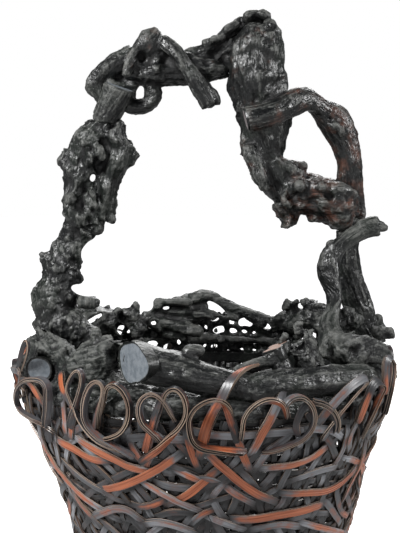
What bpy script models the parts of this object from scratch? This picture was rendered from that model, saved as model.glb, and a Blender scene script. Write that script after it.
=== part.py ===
"""A bamboo flower basket with a rim and an arched handle of gnarled root wood.

Metres, +Z up. The origin is the middle of the underside, -Y is the front and +X is the right.
The basket stands on its foot ring and its woven base. The root wood of the rim sits on the
wall, the handle's roots stand on the rim, and loops of split bamboo hold the rim to the wall.
"""

import math

import bmesh
import bpy
from mathutils import Vector, noise

# The woven body
BASE_RADIUS = 0.104
MOUTH_RADIUS = 0.1485
WALL_TOP = 0.222
WALL_THICKNESS = 0.007
BASE_THICKNESS = 0.005
FOOT_HEIGHT = 0.009
FOOT_WIDTH = 0.008
FOOT_REACH = 0.002
HOOP_WIDTH = 0.010
HOOP_THICKNESS = 0.003
HOOP_DROP = 0.006

# The root wood; the rim's is as thick as the mouth gives it room
HANDLE_RISE = 0.285
HANDLE_GIRTH = 0.020
RIM_GIRTH_SHARE = 0.0808
RIM_GIRTH = MOUTH_RADIUS * RIM_GIRTH_SHARE
GNARL_GRAIN = 0.016

# The split bamboo strips, two plies thick
STRIP_WIDTH = 0.0044
STRIP_THICKNESS = 0.0012
LOOP_RADIUS = 0.015

# Clearances
GAP = 0.0003
FIT_GAP = 0.0006
STRIP_GAP = 0.0005

# How finely round shapes are drawn, and how near two points are one
WALL_STEPS = 48
LOOP_STEPS = 13
STRIP_STEPS = 6
SHARP_ANGLE = 50
WELD = 0.00001

# The plaiting of the wall: its columns and the height of a row, the columns from one diagonal
# band to the next, how deep the hollows between crossing bands are, how low a single band lies
# as a share of that, and the rows that are bound flat under the loops
PLAIT_COLUMNS = 72
PLAIT_WIDTH = 0.013
PLAIT_REPEAT = 4
PLAIT_RELIEF = 0.0034
SINGLE_BAND_SHARE = 0.4
BOUND_ROWS = 3

# The open mesh high in the wall's back: degrees to both sides of its middle, the share of the
# wall's height where it begins, and the size of a hole as a share of its cell
MESH_SPREAD = 52
MESH_FROM_SHARE = 0.68
MESH_HOLE_SHARE = 0.62

# The tails of a loop: points past the full turn, and how far each one runs out and down as a
# share of the loop's radius
TAIL_STEPS = 2
TAIL_REACH_SHARE = 0.4
TAIL_DROP_SHARE = 0.22

# The strip round the front branch: points, degrees round the branch where it starts and between
# two points, and degrees round the mouth where it starts beside the branch's middle and between
# two points
WRAP_STEPS = 11
WRAP_START = -40
WRAP_TURN = 20
WRAP_ASIDE = -1
WRAP_CLIMB = 0.9
WRAP_TWIST_SHARE = 0.1

# How far the sawn end of the front branch faces outwards and to the left
SAWN_OUT_SHARE = 0.78
SAWN_LEFT_SHARE = 0.63

# The size of a knot in the lumps of a root. Knots are half as deep as the lumps
KNOT_SHARE = 0.435

# Colours and roughness
SMOKED_STRAW = (0.10, 0.055, 0.04)
SMOKED_HOOP = (0.12, 0.07, 0.05)
LOOP_BROWN = (0.14, 0.07, 0.05)
ORANGE_SKIN = (0.50, 0.16, 0.08)
DARK_ROOT = (0.030, 0.032, 0.031)
GREY_ROOT = (0.06, 0.06, 0.055)
BROWN_ROOT = (0.07, 0.045, 0.035)
WEAVE_ROUGHNESS = 0.5
STRIP_ROUGHNESS = 0.4

# Height shares of the wall, and how far the radius has opened from the base to the mouth
WALL_SHARES = (
    (0.0, 0.0),
    (0.22, 0.02),
    (0.43, 0.08),
    (0.55, 0.20),
    (0.70, 0.46),
    (0.81, 0.71),
    (0.93, 0.92),
    (1.0, 1.0),
)

# The handle's roots: x and y as shares of the mouth's radius, the height over the wall as a
# share of the handle's rise, and the radius as a share of the handle's girth
LEFT_ROOT_SHARES = (
    (-0.78, 0.00, 0.09, 1.00),
    (-0.79, 0.00, 0.145, 0.95),
    (-0.80, 0.00, 0.20, 0.85),
    (-0.775, 0.01, 0.265, 0.85),
    (-0.76, 0.01, 0.31, 0.78),
    (-0.70, 0.01, 0.36, 0.70),
    (-0.635, 0.01, 0.405, 0.74),
)
LEFT_SPUR_SHARES = ((-0.79, 0.00, 0.31, 0.42), (-0.885, 0.00, 0.315, 0.14))
LEFT_FOOT_SHARES = (
    (-0.76, -0.04, 0.16, 0.80),
    (-0.66, -0.10, 0.13, 0.60),
    (-0.57, -0.12, 0.125, 0.34),
)
LEFT_BURL_SHARES = (
    (-0.635, 0.01, 0.43, 0.80),
    (-0.645, 0.00, 0.46, 0.70),
    (-0.665, 0.00, 0.51, 0.72),
    (-0.66, 0.00, 0.565, 0.76),
    (-0.625, 0.00, 0.62, 0.92),
    (-0.58, 0.00, 0.66, 0.90),
    (-0.53, 0.00, 0.70, 0.55),
)
LEFT_BURL_NUB_SHARES = ((-0.68, 0.00, 0.60, 0.50), (-0.77, -0.02, 0.605, 0.20))
LEFT_FLAP_SHARES = (
    (-0.49, -0.05, 0.675, 0.45),
    (-0.44, -0.05, 0.61, 0.52),
    (-0.48, -0.04, 0.545, 0.48),
    (-0.50, -0.03, 0.49, 0.42),
    (-0.525, -0.02, 0.44, 0.38),
)
LEFT_FLAP_NUB_SHARES = ((-0.43, -0.05, 0.60, 0.34), (-0.36, -0.05, 0.59, 0.12))
LEFT_NECK_SHARES = (
    (-0.56, -0.02, 0.685, 0.45),
    (-0.52, -0.03, 0.717, 0.50),
    (-0.48, -0.04, 0.753, 0.55),
    (-0.453, -0.05, 0.788, 0.60),
)
SHOULDER_SHARES = (
    (-0.583, 0.02, 0.733, 0.25),
    (-0.61, 0.02, 0.772, 0.30),
    (-0.573, 0.02, 0.816, 0.48),
    (-0.49, 0.02, 0.85, 0.58),
    (-0.396, 0.02, 0.86, 0.60),
)
TOP_BAR_SHARES = (
    (-0.406, 0.01, 0.85, 0.66),
    (-0.302, 0.00, 0.84, 0.76),
    (-0.208, 0.00, 0.84, 0.72),
    (-0.115, 0.00, 0.838, 0.64),
    (-0.02, 0.00, 0.842, 0.52),
    (0.083, 0.00, 0.85, 0.50),
)
HOOD_HEAD_SHARES = (
    (-0.30, -0.03, 0.87, 0.48),
    (-0.303, -0.05, 0.905, 0.54),
    (-0.31, -0.05, 0.935, 0.34),
)
HOOD_LIMB_SHARES = (
    (-0.34, -0.06, 0.905, 0.26),
    (-0.39, -0.10, 0.86, 0.22),
    (-0.417, -0.11, 0.815, 0.17),
)
CUT_ARM_SHARES = (
    (-0.25, -0.07, 0.905, 0.28),
    (-0.167, -0.10, 0.87, 0.30),
    (-0.094, -0.11, 0.827, 0.32),
    (-0.036, -0.11, 0.783, 0.40),
    (0.01, -0.11, 0.74, 0.36),
)
HOOK_SHARES = (
    (-0.30, -0.02, 0.794, 0.22),
    (-0.266, -0.02, 0.767, 0.22),
    (-0.281, -0.02, 0.734, 0.22),
    (-0.333, -0.02, 0.717, 0.22),
    (-0.39, -0.03, 0.725, 0.21),
    (-0.44, -0.03, 0.745, 0.20),
)
TOP_VINE_SHARES = (
    (-0.156, 0.02, 0.855, 0.30),
    (-0.083, 0.03, 0.882, 0.27),
    (0.01, 0.03, 0.915, 0.28),
    (0.094, 0.03, 0.948, 0.30),
    (0.177, 0.03, 0.964, 0.30),
    (0.26, 0.03, 0.975, 0.28),
    (0.323, 0.02, 0.955, 0.28),
)
RIGHT_BURL_SHARES = (
    (0.28, 0.00, 0.945, 0.62),
    (0.262, -0.01, 0.896, 1.05),
    (0.25, -0.01, 0.85, 1.10),
    (0.255, -0.01, 0.794, 1.12),
    (0.276, 0.00, 0.744, 1.08),
)
RIGHT_TRUNK_SHARES = (
    (0.28, 0.00, 0.733, 1.05),
    (0.297, 0.00, 0.69, 1.00),
    (0.292, 0.00, 0.64, 0.90),
    (0.307, 0.00, 0.593, 0.80),
    (0.354, 0.00, 0.547, 0.80),
    (0.427, 0.00, 0.508, 0.85),
)
BARK_TONGUE_SHARES = (
    (0.21, -0.08, 0.635, 0.26),
    (0.228, -0.09, 0.585, 0.36),
    (0.25, -0.10, 0.54, 0.36),
    (0.275, -0.10, 0.503, 0.22),
)
KNUCKLE_SHARES = (
    (0.39, 0.00, 0.525, 0.80),
    (0.48, -0.02, 0.508, 0.85),
    (0.573, -0.02, 0.492, 0.90),
    (0.667, -0.02, 0.47, 0.95),
    (0.74, 0.00, 0.453, 0.75),
)
KNUCKLE_LEFT_NUB_SHARES = ((0.38, -0.02, 0.48, 0.58), (0.40, -0.02, 0.415, 0.36))
KNUCKLE_RIGHT_NUB_SHARES = ((0.57, -0.03, 0.456, 0.52), (0.563, -0.03, 0.412, 0.30))
SIDE_LOOP_SHARES = (
    (0.19, -0.20, 0.70, 0.44),
    (0.30, -0.19, 0.715, 0.46),
    (0.40, -0.14, 0.735, 0.47),
    (0.50, -0.08, 0.747, 0.48),
    (0.583, -0.04, 0.725, 0.50),
    (0.656, -0.02, 0.687, 0.55),
    (0.71, 0.00, 0.64, 0.54),
    (0.734, 0.00, 0.59, 0.50),
    (0.74, 0.01, 0.538, 0.50),
    (0.745, 0.02, 0.484, 0.50),
)
RIGHT_LEG_SHARES = (
    (0.74, 0.03, 0.437, 0.48),
    (0.73, 0.03, 0.374, 0.44),
    (0.74, 0.03, 0.31, 0.44),
    (0.76, 0.03, 0.245, 0.52),
    (0.80, 0.03, 0.187, 0.56),
    (0.86, 0.02, 0.135, 0.58),
    (0.90, 0.00, 0.09, 0.44),
)
CROOK_SHARES = (
    (0.87, -0.12, 0.41, 0.27),
    (0.78, -0.13, 0.40, 0.32),
    (0.69, -0.14, 0.385, 0.36),
    (0.63, -0.16, 0.355, 0.38),
    (0.595, -0.19, 0.315, 0.42),
    (0.60, -0.23, 0.265, 0.38),
    (0.595, -0.28, 0.222, 0.33),
    (0.595, -0.35, 0.18, 0.36),
    (0.60, -0.42, 0.145, 0.48),
    (0.61, -0.48, 0.12, 0.60),
)

# The rim's roots: the angle in degrees from the front towards the right, the radius as a share
# of the mouth's, and the height over the wall and the radius as shares of the rim wood's girth
FRONT_BRANCH_SHARES = (
    (-30, 0.90, 3.0, 1.12),
    (-21, 0.90, 3.1, 1.12),
    (-11.5, 0.90, 2.8, 1.00),
    (-2.5, 0.91, 2.4, 0.88),
    (6, 0.91, 2.0, 0.80),
    (13, 0.89, 1.9, 0.62),
)
FRONT_LOG_SHARES = (
    (7, 0.92, 1.85, 0.66),
    (14, 0.92, 1.85, 0.84),
    (26, 0.92, 1.80, 0.88),
    (40, 0.92, 1.70, 0.85),
    (54, 0.92, 1.40, 0.85),
    (64, 0.92, 1.10, 0.75),
)
UNDER_BRANCH_SHARES = (
    (-50, 0.92, 0.55, 0.80),
    (-36, 0.92, 0.70, 0.80),
    (-22, 0.92, 0.75, 0.80),
    (-8, 0.92, 0.70, 0.75),
    (6, 0.92, 0.55, 0.72),
    (20, 0.92, 0.40, 0.66),
    (36, 0.92, 0.35, 0.66),
    (52, 0.92, 0.35, 0.66),
    (62, 0.92, 0.35, 0.60),
)
LEFT_RIM_ROOT_SHARES = (
    (-47, 0.86, 1.6, 1.25),
    (-58, 0.86, 1.9, 1.50),
    (-70, 0.87, 1.9, 1.60),
    (-84, 0.87, 1.6, 1.50),
    (-98, 0.88, 1.3, 1.30),
    (-110, 0.89, 1.1, 1.05),
)
LEFT_CUT_BRANCH_SHARES = (
    (-60.5, 0.94, 1.75, 0.74),
    (-67, 0.87, 1.85, 0.76),
    (-78, 0.82, 1.95, 0.74),
)
INNER_ROOT_SHARES = (
    (-46, 0.86, 2.2, 0.85),
    (-38, 0.84, 2.9, 1.05),
    (-31, 0.83, 3.2, 1.00),
    (-25, 0.82, 3.1, 0.70),
)
RIGHT_FAN_SHARES = (
    (46, 0.80, 3.3, 0.80),
    (54, 0.84, 2.8, 1.10),
    (64, 0.87, 2.3, 1.10),
    (76, 0.88, 1.7, 0.95),
    (86, 0.88, 1.5, 0.80),
)
RIGHT_RIM_ROOT_SHARES = (
    (66, 0.90, 0.8, 1.00),
    (80, 0.90, 0.9, 1.10),
    (96, 0.90, 0.9, 1.05),
    (112, 0.89, 0.9, 0.95),
)
ROUGH_KNOT_SHARES = (
    (33, 0.84, 2.3, 0.85),
    (32.5, 0.82, 3.2, 0.95),
    (32, 0.80, 3.9, 0.80),
)
SMALL_STUB_SHARES = ((24, 0.88, 2.1, 0.50), (22.5, 0.84, 2.9, 0.52), (21, 0.82, 3.6, 0.58))
STUB_EDGE_SHARES = ((8, 0.83, 2.5, 0.22), (15, 0.83, 2.9, 0.30), (22, 0.84, 3.0, 0.36))
BACK_BASE_SHARES = tuple((angle, 0.92, 0.55, 0.78) for angle in range(108, 257, 12))
BACK_LEFT_SHARES = (
    (250, 0.89, 1.3, 0.95),
    (240, 0.89, 2.0, 1.05),
    (228, 0.89, 2.5, 1.15),
    (216, 0.90, 2.0, 0.95),
    (206, 0.90, 1.6, 0.90),
)
BACK_LEFT_NUB_SHARES = ((232, 0.89, 2.8, 0.70), (233, 0.89, 4.1, 0.36))
BACK_ARCH_SHARES = (
    (204, 0.90, 1.8, 0.55),
    (198, 0.90, 2.8, 0.52),
    (191, 0.90, 3.5, 0.56),
    (181, 0.90, 3.9, 0.60),
    (173, 0.90, 3.3, 0.56),
    (165, 0.90, 2.8, 0.50),
    (156, 0.90, 2.0, 0.60),
)
BACK_RIGHT_SHARES = (
    (154, 0.90, 1.7, 0.70),
    (144, 0.90, 2.3, 0.85),
    (134, 0.90, 2.5, 0.85),
    (124, 0.90, 2.0, 0.80),
    (114, 0.90, 1.5, 0.80),
)

# Loops at the rim: angle in degrees, the centre's height as a share of the wall's, the radius
# as a share of the loop's, and how much taller than wide the loop is
RIM_LOOPS = (
    (-58, 1.02, 0.72, 1.15),
    (-43, 1.06, 0.42, 1.6),
    (-28, 1.04, 1.0, 1.1),
    (-13, 1.04, 0.95, 1.0),
    (1, 1.02, 1.0, 1.0),
    (14, 1.02, 0.90, 1.05),
    (24.5, 1.01, 0.62, 1.5),
    (35, 1.04, 0.60, 1.5),
    (48, 1.05, 0.66, 1.5),
    (66, 1.04, 0.70, 1.4),
    (96, 1.03, 0.9, 1.1),
    (128, 1.02, 1.0, 1.0),
    (162, 1.03, 0.9, 1.1),
    (198, 1.02, 1.0, 1.0),
    (232, 1.03, 0.9, 1.1),
    (268, 1.03, 0.8, 1.2),
)

# Bold strips on the wall: places as an angle in degrees and a share of the wall's height
OUTER_STRIPS = (
    ((-41, 0.92), (-31, 0.88), (-18, 0.845)),
    ((-38, 0.735), (-20, 0.78), (-9, 0.87)),
    ((-1, 0.90), (8, 0.82), (22, 0.73)),
    ((-12, 0.73), (-3, 0.78), (2, 0.83)),
    ((7, 0.67), (25, 0.66), (42, 0.67)),
    ((25, 0.755), (42, 0.72), (55, 0.75)),
    ((-57, 0.86), (-60, 0.79), (-54, 0.69), (-38, 0.63)),
)

CARVED = bpy.data.collections.new("cutters")
PARTS = bpy.data.collections.new("bamboo_basket")


def clear_scene():
    for item in list(bpy.data.objects):
        bpy.data.objects.remove(item, do_unlink=True)
    bpy.context.scene.collection.children.link(PARTS)
    bpy.context.scene.collection.children.link(CARVED)


def finish(name, colour, roughness):
    """A material of its own for one sub-part."""
    material = bpy.data.materials.new(name)
    material.use_nodes = True
    shader = material.node_tree.nodes["Principled BSDF"]
    shader.inputs["Base Color"].default_value = (*colour, 1.0)
    shader.inputs["Roughness"].default_value = roughness
    shader.inputs["Metallic"].default_value = 0.0
    return material


def keep(name, mesh, colour, roughness):
    """The mesh as the sub-part of this name."""
    mesh.name = name
    mesh.materials.clear()
    mesh.materials.append(finish(name, colour, roughness))
    mesh.shade_smooth()
    mesh.set_sharp_from_angle(angle=math.radians(SHARP_ANGLE))
    part = bpy.data.objects.new(name, mesh)
    PARTS.objects.link(part)
    return part


def cutter(name, mesh):
    item = bpy.data.objects.new(name, mesh)
    item.hide_render = True
    item.display_type = "WIRE"
    CARVED.objects.link(item)
    return item


def evaluated_mesh(item):
    bpy.context.view_layer.update()
    graph = bpy.context.evaluated_depsgraph_get()
    return bpy.data.meshes.new_from_object(item.evaluated_get(graph))


def after_boolean(mesh, tools, operation):
    """The mesh joined with, or cut by, each of the tools."""
    item = bpy.data.objects.new("blank", mesh)
    CARVED.objects.link(item)
    for tool in tools:
        modifier = item.modifiers.new(tool.name, "BOOLEAN")
        modifier.object = tool
        modifier.operation = operation
    result = evaluated_mesh(item)
    bpy.data.objects.remove(item)
    return result


def largest_body(mesh):
    """Cutting leaves chips of wood beside the piece: only the piece is kept."""
    shape = bmesh.new()
    shape.from_mesh(mesh)
    bodies = []
    left = set(shape.verts)
    while left:
        front = [left.pop()]
        body = set(front)
        while front:
            for edge in front.pop().link_edges:
                for vertex in edge.verts:
                    if vertex in left:
                        left.discard(vertex)
                        body.add(vertex)
                        front.append(vertex)
        bodies.append(body)
    bodies.sort(key=len)
    chips = [vertex for body in bodies[:-1] for vertex in body]
    bmesh.ops.delete(shape, geom=chips, context="VERTS")
    shape.to_mesh(mesh)
    shape.free()
    return mesh


def wall_radius(height_share):
    """The wall's outer radius at a share of its height."""
    for (low, low_open), (high, high_open) in zip(WALL_SHARES, WALL_SHARES[1:]):
        if height_share <= high:
            along = (height_share - low) / (high - low)
            opened = low_open + (high_open - low_open) * along
            return BASE_RADIUS + (MOUTH_RADIUS - BASE_RADIUS) * opened
    return MOUTH_RADIUS


def wall_lean(height):
    """How far the wall opens outwards for each metre of height."""
    reach = STRIP_WIDTH / WALL_TOP
    share = height / WALL_TOP
    return (wall_radius(share + reach) - wall_radius(share - reach)) / (2 * STRIP_WIDTH)


def turned(name, profile):
    """A solid turned from a closed profile of radii and heights, listed down the outer side."""
    mesh = bpy.data.meshes.new(name)
    shape = bmesh.new()
    corners = [shape.verts.new((radius, 0, height)) for radius, height in profile]
    for start, end in zip(corners, corners[1:] + corners[:1]):
        shape.edges.new((start, end))
    shape.to_mesh(mesh)
    shape.free()
    item = bpy.data.objects.new(name, mesh)
    CARVED.objects.link(item)
    screw = item.modifiers.new("turn", "SCREW")
    screw.steps = WALL_STEPS
    screw.render_steps = WALL_STEPS
    screw.use_merge_vertices = True
    screw.merge_threshold = WELD
    result = evaluated_mesh(item)
    bpy.data.objects.remove(item)
    return result


def wall_profile(grow):
    """The wall's section, grown all round for the cutter of the pieces that sit on it."""
    bottom = FOOT_HEIGHT + GAP
    outer = []
    inner = []
    for height_share, _ in WALL_SHARES:
        height = max(bottom, WALL_TOP * height_share)
        height += grow if height_share == 1 else 0
        radius = wall_radius(height_share)
        outer.append((radius + grow, height))
        inner.append((radius - WALL_THICKNESS - grow, height))
    return outer[::-1] + inner


def wall_levels():
    """Heights of the rows of plaiting, as shares of the wall's height."""
    levels = []
    for (low, _), (high, _) in zip(WALL_SHARES, WALL_SHARES[1:]):
        rows = math.ceil((high - low) * WALL_TOP / PLAIT_WIDTH)
        levels += [low + (high - low) * row / rows for row in range(rows)]
    return levels + [1]


def is_open(column, row, levels):
    """Whether the mesh high in the back has a hole in this cell of the plaiting."""
    aside = abs(360 * (column + 0.5) / PLAIT_COLUMNS - 180)
    inside = MESH_FROM_SHARE < levels[row] and row < len(levels) - 2
    return aside < MESH_SPREAD and inside and row % 2 == 0 and (column + row // 2) % 2 == 0


def plaited_sheet(levels):
    """The plaiting laid flat, one unit thick, with the holes of the mesh."""
    rows = len(levels) - 1
    shape = bmesh.new()
    bmesh.ops.create_grid(shape, x_segments=PLAIT_COLUMNS, y_segments=rows, size=1)
    holes = []
    for face in shape.faces:
        middle = face.calc_center_median()
        column = int((middle.x + 1) / 2 * PLAIT_COLUMNS)
        row = int((middle.y + 1) / 2 * rows)
        if is_open(column, row, levels):
            holes.append(face)
            for vertex in face.verts:
                vertex.co = middle.lerp(vertex.co, MESH_HOLE_SHARE)
    bmesh.ops.delete(shape, geom=holes, context="FACES")
    bmesh.ops.solidify(shape, geom=shape.faces[:], thickness=1)
    ends = [face for face in shape.faces if all(abs(v.co.x) > 1 - WELD for v in face.verts)]
    bmesh.ops.delete(shape, geom=ends, context="FACES")
    return shape


def plait_dip(column, row, rows):
    """How far the wall dips in here: none where two bands cross, most in the hollows."""
    leaning = ((column + row) % PLAIT_REPEAT, (column - row) % PLAIT_REPEAT)
    missing = sum(place >= PLAIT_REPEAT / 2 for place in leaning)
    if row == 0 or row > rows - BOUND_ROWS:
        missing = 0
    return PLAIT_RELIEF * (0, SINGLE_BAND_SHARE, 1)[missing]


def plaited_wall():
    """The woven wall: bands that cross on the diagonal, and a mesh high in the back."""
    levels = wall_levels()
    rows = len(levels) - 1
    shape = plaited_sheet(levels)
    for vertex in shape.verts:
        column = (vertex.co.x + 1) / 2 * PLAIT_COLUMNS
        row = (vertex.co.y + 1) / 2 * rows
        below = min(int(row), rows - 1)
        share = levels[below] + (levels[below + 1] - levels[below]) * (row - below)
        reach = wall_radius(share) - plait_dip(round(column), round(row), rows)
        if abs(vertex.co.z) > 0.5:
            reach -= WALL_THICKNESS - PLAIT_RELIEF
        height = max(FOOT_HEIGHT + GAP, WALL_TOP * share)
        turn = 2 * math.pi * column / PLAIT_COLUMNS
        vertex.co = outward(turn) * reach + Vector((0, 0, height))
    bmesh.ops.remove_doubles(shape, verts=shape.verts, dist=WELD)
    bmesh.ops.recalc_face_normals(shape, faces=shape.faces)
    mesh = bpy.data.meshes.new("woven_wall")
    shape.to_mesh(mesh)
    shape.free()
    return mesh


def smooth_route(points, steps):
    """Places and radii along a smooth curve through the points."""
    ends = [points[0]] + list(points) + [points[-1]]
    route = []
    for before, start, end, after in zip(ends, ends[1:], ends[2:], ends[3:]):
        for step in range(steps):
            t = step / steps
            weights = (
                -t / 2 + t * t - t * t * t / 2,
                1 - 5 * t * t / 2 + 3 * t * t * t / 2,
                t / 2 + 2 * t * t - 3 * t * t * t / 2,
                -t * t / 2 + t * t * t / 2,
            )
            corners = (before, start, end, after)
            route.append([sum(w * c[k] for w, c in zip(weights, corners)) for k in range(4)])
    route.append(list(points[-1]))
    return route


def handle_place(x, y, height, girth):
    return (
        x * MOUTH_RADIUS,
        y * MOUTH_RADIUS,
        WALL_TOP + height * HANDLE_RISE,
        girth * HANDLE_GIRTH,
    )


def rim_place(angle, radius, height, girth):
    turn = math.radians(angle)
    reach = radius * MOUTH_RADIUS
    return (
        reach * math.sin(turn),
        -reach * math.cos(turn),
        WALL_TOP + height * RIM_GIRTH,
        girth * RIM_GIRTH,
    )


def gnarl(shape, route, lumps):
    """Lumps and hollows of a root, from noise at its own place and as deep as a share of its girth."""
    shape.normal_update()
    centres = [(Vector(row[:3]), row[3]) for row in route]
    moves = []
    for vertex in shape.verts:
        lump = noise.noise(vertex.co / GNARL_GRAIN)
        knot = noise.noise(vertex.co / (GNARL_GRAIN * KNOT_SHARE))
        girth = min(centres, key=lambda row: (row[0] - vertex.co).length_squared)[1]
        moves.append(vertex.normal * girth * lumps * (lump + knot / 2))
    for vertex, move in zip(shape.verts, moves):
        vertex.co += move


def limb(places, steps, sides, lumps):
    """One root as a tube along a smooth route, with filled ends."""
    route = smooth_route(places, steps)
    curve = bpy.data.curves.new("limb", "CURVE")
    curve.dimensions = "3D"
    curve.bevel_mode = "ROUND"
    curve.bevel_depth = HANDLE_GIRTH
    curve.bevel_resolution = sides
    curve.use_fill_caps = True
    spline = curve.splines.new("POLY")
    spline.points.add(len(route) - 1)
    for point, (x, y, z, radius) in zip(spline.points, route):
        point.co = (x, y, z, 1.0)
        point.radius = radius / HANDLE_GIRTH
    item = bpy.data.objects.new("limb", curve)
    CARVED.objects.link(item)
    mesh = evaluated_mesh(item)
    bpy.data.objects.remove(item)
    shape = bmesh.new()
    shape.from_mesh(mesh)
    bmesh.ops.remove_doubles(shape, verts=shape.verts, dist=WELD)
    bmesh.ops.recalc_face_normals(shape, faces=shape.faces)
    gnarl(shape, route, lumps)
    bmesh.ops.triangulate(shape, faces=shape.faces)
    shape.to_mesh(mesh)
    shape.free()
    return mesh


def hold_inside(mesh):
    """The loops hold the rim's wood inside the mouth's circle."""
    for vertex in mesh.vertices:
        reach = math.hypot(vertex.co.x, vertex.co.y)
        if reach > MOUTH_RADIUS:
            vertex.co.x *= MOUTH_RADIUS / reach
            vertex.co.y *= MOUTH_RADIUS / reach


def saw(mesh, place, direction):
    """The end of a branch sawn off flat beyond the place."""
    shape = bmesh.new()
    shape.from_mesh(mesh)
    direction = Vector(direction).normalized()
    bmesh.ops.bisect_plane(
        shape,
        geom=shape.verts[:] + shape.edges[:] + shape.faces[:],
        plane_co=place,
        plane_no=direction,
        clear_outer=True,
    )
    bmesh.ops.holes_fill(shape, edges=[edge for edge in shape.edges if edge.is_boundary])
    bmesh.ops.recalc_face_normals(shape, faces=shape.faces)
    shape.to_mesh(mesh)
    shape.free()


def root_solid(routes, lumps, steps, sides, on_rim, sawn):
    """All limbs of one root joined, and sawn where it was sawn."""
    meshes = [limb(places, steps, sides, lumps) for places in routes]
    mesh = meshes[0]
    if len(meshes) > 1:
        tools = [cutter("branch", other) for other in meshes[1:]]
        mesh = after_boolean(mesh, tools, "UNION")
        for tool in tools:
            bpy.data.objects.remove(tool)
    if sawn:
        saw(mesh, *sawn)
    if on_rim:
        hold_inside(mesh)
    return mesh


def grown_by_gap(mesh):
    """A copy of the solid, larger all round by the gap that its neighbours keep to it."""
    shape = bmesh.new()
    shape.from_mesh(mesh)
    shape.normal_update()
    moves = [v.normal * FIT_GAP * min(v.calc_shell_factor(), 2) for v in shape.verts]
    for vertex, move in zip(shape.verts, moves):
        vertex.co += move
    grown = bpy.data.meshes.new("grown")
    shape.to_mesh(grown)
    shape.free()
    return grown


def corners_of(mesh):
    places = [vertex.co for vertex in mesh.vertices]
    low = [min(place[k] for place in places) for k in range(3)]
    high = [max(place[k] for place in places) for k in range(3)]
    return low, high


def meet(mesh, other):
    (low, high), (other_low, other_high) = corners_of(mesh), corners_of(other)
    return all(low[k] < other_high[k] and other_low[k] < high[k] for k in range(3))


class Joinery:
    """Fits each root against the pieces that were laid before it."""

    def __init__(self):
        self.laid = []

    def add_cutter(self, name, mesh):
        self.laid.append(cutter(name + "_clearance", mesh))

    def root(self, name, routes, colour, lumps=0.2, steps=2, sides=2, sawn=None, on_rim=False):
        mesh = root_solid(routes, lumps, steps, sides, on_rim, sawn)
        grown = grown_by_gap(mesh)
        tools = [tool for tool in self.laid if meet(mesh, tool.data)]
        if tools:
            mesh = after_boolean(mesh, tools, "DIFFERENCE")
        keep(name, largest_body(mesh), colour, WEAVE_ROUGHNESS)
        self.add_cutter(name, grown)


def ribbon(name, places, across, width, thickness):
    """A flat strip along the places, with its width along the directions across."""
    mesh = bpy.data.meshes.new(name)
    shape = bmesh.new()
    bmesh.ops.create_grid(shape, x_segments=len(places) - 1, y_segments=1, size=1)
    shape.verts.ensure_lookup_table()
    for vertex in shape.verts:
        index = round((vertex.co.x + 1) / 2 * (len(places) - 1))
        side = vertex.co.y / 2
        vertex.co = places[index] + across[index] * side * width
    shape.to_mesh(mesh)
    shape.free()
    item = bpy.data.objects.new(name, mesh)
    CARVED.objects.link(item)
    solidify = item.modifiers.new("ply", "SOLIDIFY")
    solidify.thickness = thickness
    solidify.offset = 0
    result = evaluated_mesh(item)
    bpy.data.objects.remove(item)
    return result


def outward(turn):
    return Vector((math.sin(turn), -math.cos(turn), 0))


def sideways(turn):
    return Vector((math.cos(turn), math.sin(turn), 0))


def build_body():
    keep("woven_wall", plaited_wall(), SMOKED_STRAW, WEAVE_ROUGHNESS)
    foot_outer = BASE_RADIUS + FOOT_REACH
    foot_inner = foot_outer - FOOT_WIDTH
    foot = ((foot_outer, FOOT_HEIGHT), (foot_outer, 0), (foot_inner, 0), (foot_inner, FOOT_HEIGHT))
    keep("foot_ring", turned("foot_ring", foot), SMOKED_HOOP, STRIP_ROUGHNESS)
    mesh = bpy.data.meshes.new("woven_base")
    shape = bmesh.new()
    bmesh.ops.create_cone(
        shape,
        cap_ends=True,
        segments=WALL_STEPS,
        radius1=foot_inner - GAP,
        radius2=foot_inner - GAP,
        depth=BASE_THICKNESS,
    )
    bmesh.ops.translate(shape, verts=shape.verts, vec=(0, 0, BASE_THICKNESS / 2))
    shape.to_mesh(mesh)
    shape.free()
    keep("woven_base", mesh, SMOKED_STRAW, WEAVE_ROUGHNESS)


def build_hoop(joinery):
    """The flat bamboo hoop inside the wall's top, which the loops are tied round."""
    top = WALL_TOP - HOOP_DROP
    bottom = top - HOOP_WIDTH
    outer_top = wall_radius(top / WALL_TOP) - WALL_THICKNESS - STRIP_GAP
    outer_bottom = wall_radius(bottom / WALL_TOP) - WALL_THICKNESS - STRIP_GAP
    profile = (
        (outer_top, top),
        (outer_bottom, bottom),
        (outer_bottom - HOOP_THICKNESS, bottom),
        (outer_top - HOOP_THICKNESS, top),
    )
    keep("inner_hoop", turned("inner_hoop", profile), SMOKED_HOOP, STRIP_ROUGHNESS)
    joinery.add_cutter("inner_hoop", turned("inner_hoop", profile))
    joinery.add_cutter("woven_wall", turned("woven_wall", wall_profile(GAP)))


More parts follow.
